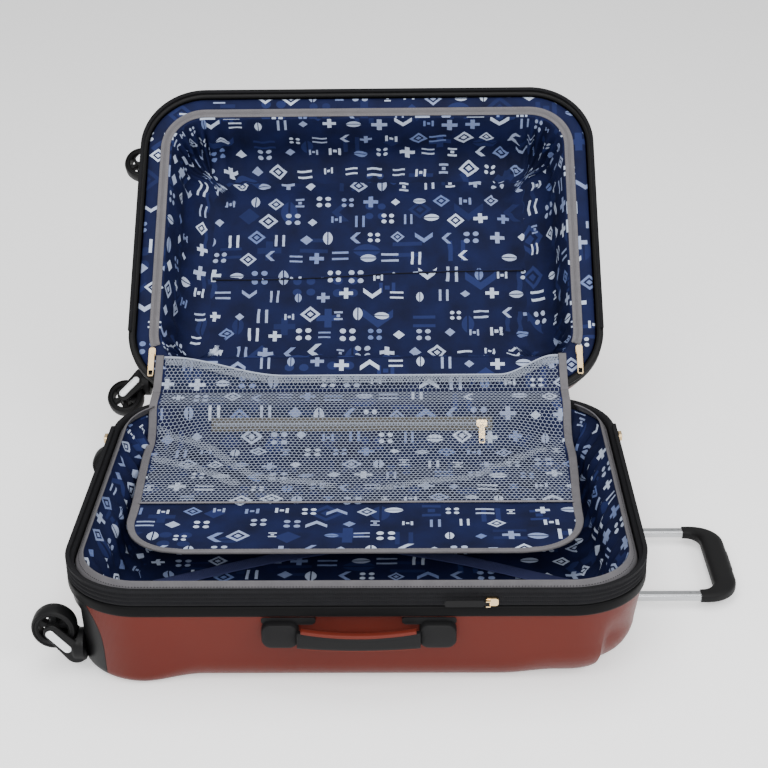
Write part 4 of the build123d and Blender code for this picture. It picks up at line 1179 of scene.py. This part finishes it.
def shellRows(half, begin, sink):
    # rings from the rim down the wall, round the edge and over the flat face, sunk in by a wall
    look = shellLook
    x, y = rimLoop(0, look["step"])
    outer = smooth(np.abs(y), *look["outerSide"])
    full = smooth(-x, *look["wheelEnd"]) * outer
    away = x - look["grooveAt"]
    groove = look["groove"] * np.exp(-(away / np.where(away < 0, *look["grooveFade"])) ** 2)
    foot = look["foot"] + (look["fullFoot"] - look["foot"]) * full
    edge = look["edge"] + (look["fullEdge"] - look["edge"]) * full
    edge = edge + (look["endEdge"] - look["edge"]) * smooth(x, *look["trolleyEnd"])
    atCorner = smooth(x, *look["trolleyCorner"]) * outer
    edge = edge + (look["cornerEdge"] - look["endEdge"]) * atCorner
    start, face = begin - look["tuck"] * (sink > 0), half - sink
    rings = []

    def ring(inset, depth):
        least = float(np.min(inset + sink))
        ringX, ringY = movedIn(least, inset + sink - least, look["step"])
        rings.append(np.stack((ringX, ringY, 0 * ringX + depth), -1))

    def wallInset(depth):
        part = (depth - begin) / (half - begin)
        sunk = groove * smooth(depth, *look["grooveDeep"])
        return look["startInset"] + (foot - look["startInset"]) * part + sunk

    for part in np.linspace(0, 1, 11):
        depth = start + (face - edge - start) * part
        ring(wallInset(depth), depth)
    turnAt = wallInset(face - edge)
    for bend in np.radians(np.linspace(0, 90, 10)[1:]):
        ring(turnAt + edge * (1 - math.cos(bend)), face - edge + edge * math.sin(bend))
    for inset in look["faceRings"]:
        ring(inset + 0 * full, face)
    return np.array(rings)


def cornerPrisms(place, half, begin, grow):
    # the two wheel corners as seen from the long side, bounded by a swept line
    look = housingLook
    depth = np.linspace(begin - 0.01, half + 0.02, 30)
    part = np.clip((depth - begin) / (look["sweepPart"] * (half - begin)), 0, 1)
    x = look["foot"] + (look["top"] - look["foot"]) * (1 - part) ** look["sweep"] + grow
    pastX, pastY = look["past"]
    x = np.concatenate((x, (pastX, pastX)))
    depth = np.concatenate((depth, (depth[-1], depth[0])))
    stacks = [[place(x, sign * y, depth) for y in (look["run"] - grow, pastY)] for sign in (-1, 1)]
    return solidPiece("cornerTool", stacks, "black")


def wheelPockets(place, half):
    look = housingLook
    bend = np.linspace(0, 2 * math.pi, 72, endpoint=False)
    depth = half - look["up"] + look["pocket"] * np.sin(bend)
    wide = look["pocket"] * np.cos(bend)
    stacks = [[place(x, sign * look["side"] + wide, depth) for x in (look["pocketPast"], look["face"])]
              for sign in (-1, 1)]
    return solidPiece("pocketTool", stacks, "black")


def hardShells():
    nodes = dict(base=("base_wheel_housing_front", "base_wheel_housing_rear"),
                 lid=("lid_wheel_housing_lower", "lid_wheel_housing_upper"))
    for body, (place, half, begin) in halves.items():

        def lay(rows):
            return place(rows[..., 0], rows[..., 1], rows[..., 2])

        outer = lay(shellRows(half, begin, 0.0))
        hollow = solidPiece("hollowTool", [lay(shellRows(half, begin, shellLook["wall"]))], "shell")
        corner = cornerPrisms(place, half, begin, housingLook["gap"])
        tools = [hollow, corner] + (baseOpenings() if body == "base" else [])
        shell = cut(solidPiece(f"{body}HardShell", [outer], "shell"), difference=tools)
        finishPiece(shell, body, "shell", f"{body}_shell")
        # wheel housings: a skin flush with the shell, and a thick back behind the wheel pocket
        backed = shellRows(half, begin, housingLook["wall"])
        back = housingLook["face"] + housingLook["back"]
        behind = backed[..., 0] < back
        backed[..., 0][behind] = back + housingLook["flatten"] * (backed[..., 0][behind] - back)
        plug = solidPiece("plugTool", [outer], "black")
        backing = solidPiece("backingTool", [lay(backed)], "black")
        pockets = wheelPockets(place, half)
        housing = cornerPrisms(place, half, begin, 0.0)
        housing.name = f"{body}WheelHousings"
        cut(housing, intersect=[plug], difference=[backing, pockets])
        finishPiece(housing, body, "black_plastic", *nodes[body])
        discard(*tools, plug, backing, pockets)


def upright(outline, y):
    # a flat outline of x and z, stood up at y
    return np.stack((outline[:, 0], 0 * outline[:, 0] + y, outline[:, 1]), -1)


def recessOutline(less):
    low = (carryLook["middle"] - carryLook["half"] + less, carryLook["bottom"] + less)
    high = (carryLook["middle"] + carryLook["half"] - less, carryLook["top"] - less)
    return roundProfile(low, high, carryLook["corner"], 6)


def baseOpenings():
    # through the base's long wall for the carry handle, and through its end for the trolley bezel
    past = dict(x=0.40, y=-0.27, z=-0.02)
    stack = [upright(recessOutline(0.0), y) for y in (past["y"], carryLook["back"])]
    low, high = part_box("handle_bezel")
    side, top = high[1] + carryLook["gap"], high[2] + carryLook["gap"]
    square = np.array(((-side, past["z"]), (side, past["z"]), (side, top), (-side, top)))
    end = [np.stack((0 * square[:, 0] + x, square[:, 0], square[:, 1]), -1)
           for x in (low[0] - 0.001, past["x"])]
    return [solidPiece("recessTool", [stack], "shell"), solidPiece("bezelTool", [end], "shell")]


hardShells()
print("shells and wheel housings")

# Casters in their own axes: p out from the housing, q along the trail, w across
casterLook = dict(
    axle=(0.034, 0.024), wheel=0.025, width=0.010, cheek=(0.0112, 0.0157),
    crown=((0.0004, 0.0185), (0.0115, 0.0185), (0.0165, 0.0145)),
    arm=((0.034, 0.024, 0.0098), (0.010, -0.004, 0.0125)), armEdge=0.0012, scoop=0.0266, voxel=0.0008,
    insert=((0.0358, 0.0230), (0.0188, 0.0036), 0.0049), insertFoot=0.0004,
    insertSteps=((0.0, 0.0), (0.0011, 0.0), (0.0014, 0.0004), (0.0014, 0.0013), (0.0010, 0.0017)),
    tyre=((0.0085, 0.0022), (0.0062, 0.0004), (0.0040, 0.0011), (0.0032, 0.0), (0.0012, 0.0010),
          (0.0, 0.0045)),
    hub=((0.0032, -0.0004), (0.0070, -0.0004), (0.0078, 0.0008)),
    spokes=5, spokeTurn=0.35, spokeThick=0.0046, spoke=((0.0068, 0.0028), (0.0110, 0.0032), (0.0172, 0.0052)),
)


def circle(p, q, radius, count=48):
    bend = np.linspace(0, 2 * math.pi, count, endpoint=False)
    return np.stack((p + radius * np.cos(bend), q + radius * np.sin(bend)), -1)


def tangentHull(a, ra, b, rb, steps=16):
    # outline round two circles
    a, b = np.array(a), np.array(b)
    way = math.atan2(b[1] - a[1], b[0] - a[0])
    lean = math.acos((ra - rb) / np.hypot(*(b - a)))
    first = np.linspace(way + lean, way + 2 * math.pi - lean, steps)
    second = np.linspace(way - lean, way + lean, steps)
    rounds = [centre + radius * np.stack((np.cos(turn), np.sin(turn)), -1)
              for centre, radius, turn in ((a, ra, first), (b, rb, second))]
    return np.concatenate(rounds)


def level(outline, w):
    return np.concatenate((outline, np.full((len(outline), 1), w)), 1)


def forkShape():
    # crown and two arms in one, scooped out round the wheel
    look = casterLook
    crown = [[(p, *(radius * spot)) for spot in circle(0, 0, 1.0)] for p, radius in look["crown"]]
    (ap, aq, ar), (bp, bq, br) = look["arm"]
    stacks = [crown]
    for sign in (-1, 1):
        inner, outer = (sign * w for w in look["cheek"])
        rings = [level(tangentHull((ap, aq), ar - less, (bp, bq), br - less), w) for w, less in
                 ((inner, 0.0), (outer - sign * look["armEdge"], 0.0), (outer, look["armEdge"]))]
        stacks.append(rings)
    fork = solidPiece("forkTool", stacks, "black")
    room = circle(*look["axle"], look["scoop"], 72)
    scoop = solidPiece("scoopTool", [[level(room, sign * look["cheek"][0]) for sign in (-1, 1)]], "black")
    for step in ("union", "scoop", "blend"):
        if step == "scoop":
            change = fork.modifiers.new(step, "BOOLEAN")
            change.operation = "DIFFERENCE"
            change.object = scoop
        else:
            change = fork.modifiers.new(step, "REMESH")
            change.mode = "VOXEL"
            change.voxel_size = look["voxel"]
    ease = fork.modifiers.new("ease", "SMOOTH")
    ease.iterations = 5
    settle(fork, "forkTool")
    points = np.array([point.co for point in fork.data.vertices])
    faces = [list(face.vertices) for face in fork.data.polygons]
    discard(fork, scoop)
    return points, faces


def wheelStacks():
    # tyre, hub and spokes as closed rings of p, q, w; each half profile runs in from one side
    look = casterLook
    r, w = look["wheel"], look["width"]
    tyre = [(r - below, -w + inside) for below, inside in look["tyre"]]
    hub = [(radius, -w + inside) for radius, inside in look["hub"]]
    rings = []
    for half in (tyre, hub):
        profile = list(half) + [(radius, -side) for radius, side in reversed(half)]
        rings.append(np.array([level(circle(*look["axle"], radius), side) for radius, side in profile]))
    spokes = []
    thick = look["spokeThick"]
    for turn in np.arange(look["spokes"]) * 2 * math.pi / look["spokes"] + look["spokeTurn"]:
        way = np.array((math.cos(turn), math.sin(turn)))
        across = np.array((-way[1], way[0]))
        stack = []
        for radius, wide in look["spoke"]:
            centre = np.array(look["axle"]) + way * radius
            section = roundProfile((-wide, -thick), (wide, thick), 0.001, 2)
            stack.append([(*(centre + across * s), side) for s, side in section])
        spokes.append(np.array(stack))
    return rings, spokes


def closedRings(rings, first):
    # faces of a ring whose first and last rows meet
    count, columns = rings.shape[:2]
    grid = first + np.arange(count * columns).reshape(count, columns)
    after = np.roll(grid, -1, 0)
    return np.stack((grid, np.roll(grid, -1, 1), np.roll(after, -1, 1), after), -1).reshape(-1, 4).tolist()


def casters():
    look = casterLook
    forkPoints, forkFaces = forkShape()
    rings, spokes = wheelStacks()
    a, b, radius = look["insert"]
    for name in ("base_front", "base_rear", "lid_lower", "lid_upper"):
        swivel = np.array(joints[f"{name}_swivel"]["pos_m"])
        spin = np.array(joints[f"{name}_spin"]["pos_m"])
        across = np.array(joints[f"{name}_spin"]["axis"])
        out = np.array((-1.0, 0.0, 0.0))
        trail = unit(spin - swivel - out * ((spin - swivel) @ out))

        def lay(points):
            points = np.asarray(points)
            return swivel + points[..., :1] * out + points[..., 1:2] * trail + points[..., 2:] * across

        fork = outward(newPiece(f"{name}_forkBody", lay(forkPoints), forkFaces, "black"))
        finishPiece(fork, f"{name}_caster", "black_plastic", f"{name}_fork")
        wheel = solidPiece(f"{name}_wheelBody", [lay(stack) for stack in spokes], "tread")
        addRings(wheel, [lay(ring) for ring in rings])
        finishPiece(wheel, f"{name}_wheel", "tread", f"{name}_wheel")
        plates = []
        for sign in (-1, 1):
            foot = look["cheek"][1] - look["insertFoot"]
            steps = [(tangentHull(a, radius - less, b, radius - less + 1e-6), foot + rise)
                     for rise, less in look["insertSteps"]]
            plates.append([lay(level(outline, sign * w)) for outline, w in steps])
        insert = solidPiece(f"{name}_armInserts", plates, "insert")
        finishPiece(insert, f"{name}_caster", "insert", f"{name}_fork_inserts")


def addRings(piece, rings):
    # further closed rings in the same mesh
    shape = bmesh.new()
    shape.from_mesh(piece.data)
    for ring in rings:
        points = [shape.verts.new(point) for point in ring.reshape(-1, 3)]
        for face in closedRings(ring, 0):
            shape.faces.new([points[k] for k in face])
    bmesh.ops.recalc_face_normals(shape, faces=shape.faces)
    shape.to_mesh(piece.data)
    shape.free()
    return crisp(piece)


casters()
print("casters")

# Carry handle: recess, end pads, bowed grip with its rust top strip, and a thin rust strip under the grip as
# painted highlight on its lower edge
padLook = dict(ends=((-0.1000, -0.0600), (0.0700, 0.1100)), bottom=0.0600, top=0.0905, wallY=-0.2270,
               steps=((0.0, 0.0), (0.0095, 0.0), (0.0122, 0.0010), (0.0136, 0.0032)), corner=0.0095,
               shelfReach=0.0185, shelf=(0.0868, 0.0950), shelfFace=-0.2318, shelfCorner=0.0030, lip=0.0007)
gripLook = dict(half=0.0665, middleY=-0.2405, bow=0.0085, thick=0.0088, top=0.0826, crown=0.0012,
                bottom=0.0628, waist=0.0030, strip=0.0042, stripThick=0.82, edgeStrip=0.0016, edgeThick=0.7)


def carryRecess():
    # y and how far in, from the outer wall to the back
    back = carryLook["back"]
    steps = ((-0.2286, 0.0), (-0.2240, 0.0004), (back + 0.002, 0.0015), (back, 0.0035))
    rings = np.array([upright(recessOutline(less), y) for y, less in steps])
    u = np.concatenate((rings[..., 0], rings[:, :1, 0]), 1)
    v = np.concatenate((rings[..., 2], rings[:, :1, 2]), 1)
    cup = gridPiece("carryRecess", rings, edgePairs(u), edgePairs(v), "shell", aroundColumns=True,
                    capMap=(rings[-1, :, 0], rings[-1, :, 2]))
    finishPiece(thicken(crisp(cup), carryLook["thick"]), "base", "shell")


def carryPads():
    look = padLook
    below, above = look["shelf"]
    pads = []
    for low, high in look["ends"]:
        stack = []
        for rise, less in look["steps"]:
            outline = roundProfile((low + less, look["bottom"] + less), (high - less, look["top"] - less),
                                   look["corner"], 6)
            stack.append(upright(outline, look["wallY"] - rise))
        pads.append(np.array(stack))
        # a ledge over the pad runs on into the recess
        inward = look["shelfReach"] * (1 if low < 0 else -1)
        left, right = low + min(inward, 0), high + max(inward, 0)
        ledge = roundProfile((left, below), (right, above), look["shelfCorner"], 4)
        pads.append(np.array([upright(ledge, y) for y in (carryLook["back"] + 0.001, look["shelfFace"])]))
        run = np.linspace(left + look["shelfCorner"], right - look["shelfCorner"], 12)
        bead = np.array([(x, look["shelfFace"], below) for x in run])
        pads.append(np.stack([bead + (0, look["lip"] * math.cos(t), look["lip"] * math.sin(t))
                              for t in np.linspace(0, 2 * math.pi, 8, endpoint=False)], 1))
    finishPiece(solidPiece("carryEndPads", pads, "soft"), "base", "black_plastic", "carry_pads")


def carryGrip():
    grip = gripLook
    t = np.linspace(-1, 1, 60)
    curve = 1 - t * t
    x = carryLook["middle"] + t * grip["half"]
    y = grip["middleY"] - grip["bow"] * curve
    top = grip["top"] - grip["crown"] * curve
    bottom = grip["bottom"] + grip["waist"] * curve
    side, rise = np.array((0.0, 0.0, 1.0)), unit(np.stack((0 * t, 0 * t - 1, 0 * t), -1))
    middle = np.stack((x, y, (top + bottom) / 2), -1)
    bar = ribbon("carryGripBar", middle, side, rise, (top - bottom) / 2, grip["thick"], "soft", 0.55, 5)
    finishPiece(bar, "carry_handle", "soft_grip", "carry_grip")
    half, thick = grip["strip"] / 2, grip["thick"] * grip["stripThick"]
    upper = np.stack((x, y, top + half - 0.0006), -1)[2:-2]
    strip = ribbon("carryTopStrip", upper, side, rise[2:-2], half, thick, "accent", 0.5, 4)
    finishPiece(strip, "carry_handle", "accent", "carry_accent")
    # a thin rust strip along the grip's lower edge: painted highlight where that edge catches the light
    half, thick = grip["edgeStrip"] / 2, grip["thick"] * grip["edgeThick"]
    lower = np.stack((x, y, bottom - half + 0.0005), -1)[2:-2]
    edge = ribbon("carryLowStrip", lower, side, rise[2:-2], half, thick, "accent", 0.5, 3)
    finishPiece(edge, "carry_handle", "accent")


carryRecess()
carryPads()
carryGrip()
print("carry handle")


# Trolley grip: one soft bar bent round to its two tubes
def trolleyGrip():
    look = dict(start=0.4032, bar=0.4357, side=0.0712, height=0.0140, bend=0.0285, leg=(0.0080, 0.0126),
                barSize=(0.0138, 0.0180), grow=0.05)
    corner = look["bend"]
    straight = np.array(((look["start"], look["side"]), (look["bar"] - corner, look["side"])))
    turn = np.radians(np.linspace(90, 0, 16))
    centre = np.array((look["bar"] - corner, look["side"] - corner))
    arc = centre + corner * np.stack((np.cos(turn), np.sin(turn)), -1)
    upper = np.concatenate((np.linspace(straight[0], straight[1], 4)[:-1], arc))
    bar = np.linspace(arc[-1], arc[-1] * (1, -1), 30)[1:-1]
    line = np.concatenate((upper, bar, (upper * (1, -1))[::-1]))
    tangent = unit(np.gradient(line, axis=0))
    side = np.stack((tangent[:, 1], -tangent[:, 0], 0 * tangent[:, 0]), -1)
    run = runLength(line)
    along = np.minimum(run, run[-1] - run)
    fuller = smooth(along, 0.0, look["grow"])
    half = look["leg"][0] + (look["barSize"][0] - look["leg"][0]) * fuller
    thick = look["leg"][1] + (look["barSize"][1] - look["leg"][1]) * fuller
    middle = np.stack((line[:, 0], line[:, 1], np.full(len(line), look["height"])), -1)
    grip = ribbon("trolleyGripBar", middle, side, np.array((0.0, 0.0, 1.0)), half, thick, "soft", 0.7, 6)
    finishPiece(crisp(grip, 50.0), "trolley_inner", "soft_grip", "trolley_grip")


# Zip pulls: a framed plate with an open slot at its free end
def zipPulls():
    look = dict(width=0.0080, length=0.0345, thick=0.0019, rim=0.0013, corner=0.0022, slot=0.0085,
                plate=0.0009, plateCorner=0.0012, lap=0.7, bevel=(0.8, 0.94))
    hang = dict(divider_pull_left=(-lidUp, -lidIn, 1.0), divider_pull_right=(-lidUp, -lidIn, 1.0),
                pocket_pull=(np.array((0.0, -0.557, -0.830)), np.array((0.0, -0.830, 0.557)), 0.72))
    for name, (way, face, share) in hang.items():
        low, high = (np.array(corner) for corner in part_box(name))
        start = np.array(((low[0] + high[0]) / 2, high[1], high[2])) - face * look["thick"] * 0.2
        length, half, thick = look["length"] * share, look["width"] / 2, look["thick"]
        across = np.array((1.0, 0.0, 0.0))

        def lay(outline, rise):
            return start + outline[:, :1] * across + outline[:, 1:] * way + face * rise

        outer = roundProfile((-half, 0.0), (half, length), look["corner"], 5)
        rim = look["rim"]
        inner = roundProfile((-half + rim, rim), (half - rim, length - rim), look["corner"] - rim * 0.8, 5)
        shoulder, narrow = look["bevel"]
        steps = ((outer, 0.0), (outer, thick * shoulder), (outer * (narrow, 1.0), thick), (inner, thick),
                 (inner, 0.0))
        ring = np.array([lay(outline, rise) for outline, rise in steps])
        plateEnd = length - look["slot"] * share
        under = rim * look["lap"]
        plate = roundProfile((-half + under, under), (half - under, plateEnd), look["plateCorner"], 4)
        middle = (thick - look["plate"]) / 2
        piece = solidPiece(f"{name}Plate", [[lay(plate, middle), lay(plate, middle + look["plate"])]], "gold")
        addRings(piece, [ring])
        finishPiece(piece, name, "gold", name)


trolleyGrip()
zipPulls()
print("trolley grip and pulls")


# Stage, light and camera
def stage():
    look = dict(half=4.0, level=-0.0004, sky=0.72, aim=(0, 0.15, 0.15))
    floor = bpy.data.meshes.new("floor")
    corner = ((-1, -1), (1, -1), (1, 1), (-1, 1))
    spots = [(x * look["half"], y * look["half"], look["level"]) for x, y in corner]
    floor.from_pydata(spots, [], [(0, 1, 2, 3)])
    pale = bpy.data.materials.new("paleFloor")
    pale.use_nodes = True
    setShader(pale, color=(0.93, 0.93, 0.93, 1.0), rough=0.9, specular=0.1, glow=(1.0, 1.0, 1.0, 1.0),
              glowPower=0.45)
    floor.materials.append(pale)
    ground = bpy.data.objects.new("floor", floor)
    bpy.context.scene.collection.objects.link(ground)
    world = bpy.data.worlds.new("studio")
    world.use_nodes = True
    sky = world.node_tree.nodes["Background"]
    sky.inputs["Color"].default_value = (1.0, 1.0, 1.0, 1.0)
    sky.inputs["Strength"].default_value = look["sky"]
    bpy.context.scene.world = world
    lamps = (
        ("keyLight", (-1.0, -1.7, 2.3), 1.4, 34.0),
        ("fillLight", (1.6, -1.3, 1.6), 1.4, 33.0),
        ("frontLight", (0.1, -2.3, 1.4), 0.9, 44.0),
        ("topLight", (0.0, 0.2, 2.8), 1.8, 38.0),
    )
    for name, place, size, power in lamps:
        lamp = bpy.data.lights.new(name, "AREA")
        lamp.size = size
        lamp.energy = power
        light = bpy.data.objects.new(name, lamp)
        light.location = place
        light.rotation_euler = (Vector(look["aim"]) - Vector(place)).to_track_quat("-Z", "Y").to_euler()
        bpy.context.scene.collection.objects.link(light)


def camera():
    view = dict(place=(0.0658, -1.6185, 1.0504), pitch=26.02, yaw=-1.23, roll=0.86, lens=72.9)
    pitch, yaw, roll = (math.radians(view[key]) for key in ("pitch", "yaw", "roll"))
    ahead = Vector((math.sin(yaw) * math.cos(pitch), math.cos(yaw) * math.cos(pitch), -math.sin(pitch)))
    level = Vector((math.cos(yaw), -math.sin(yaw), 0))
    rise = level.cross(ahead)
    right = level * math.cos(roll) - rise * math.sin(roll)
    up = level * math.sin(roll) + rise * math.cos(roll)
    eye = bpy.data.cameras.new("view")
    eye.lens = view["lens"]
    eye.sensor_width = 36.0
    shot = bpy.data.objects.new("view", eye)
    shot.matrix_world = Matrix((right, up, -ahead)).transposed().to_4x4()
    shot.location = view["place"]
    bpy.context.scene.collection.objects.link(shot)
    bpy.context.scene.camera = shot


stage()
camera()

bpy.context.view_layer.update()
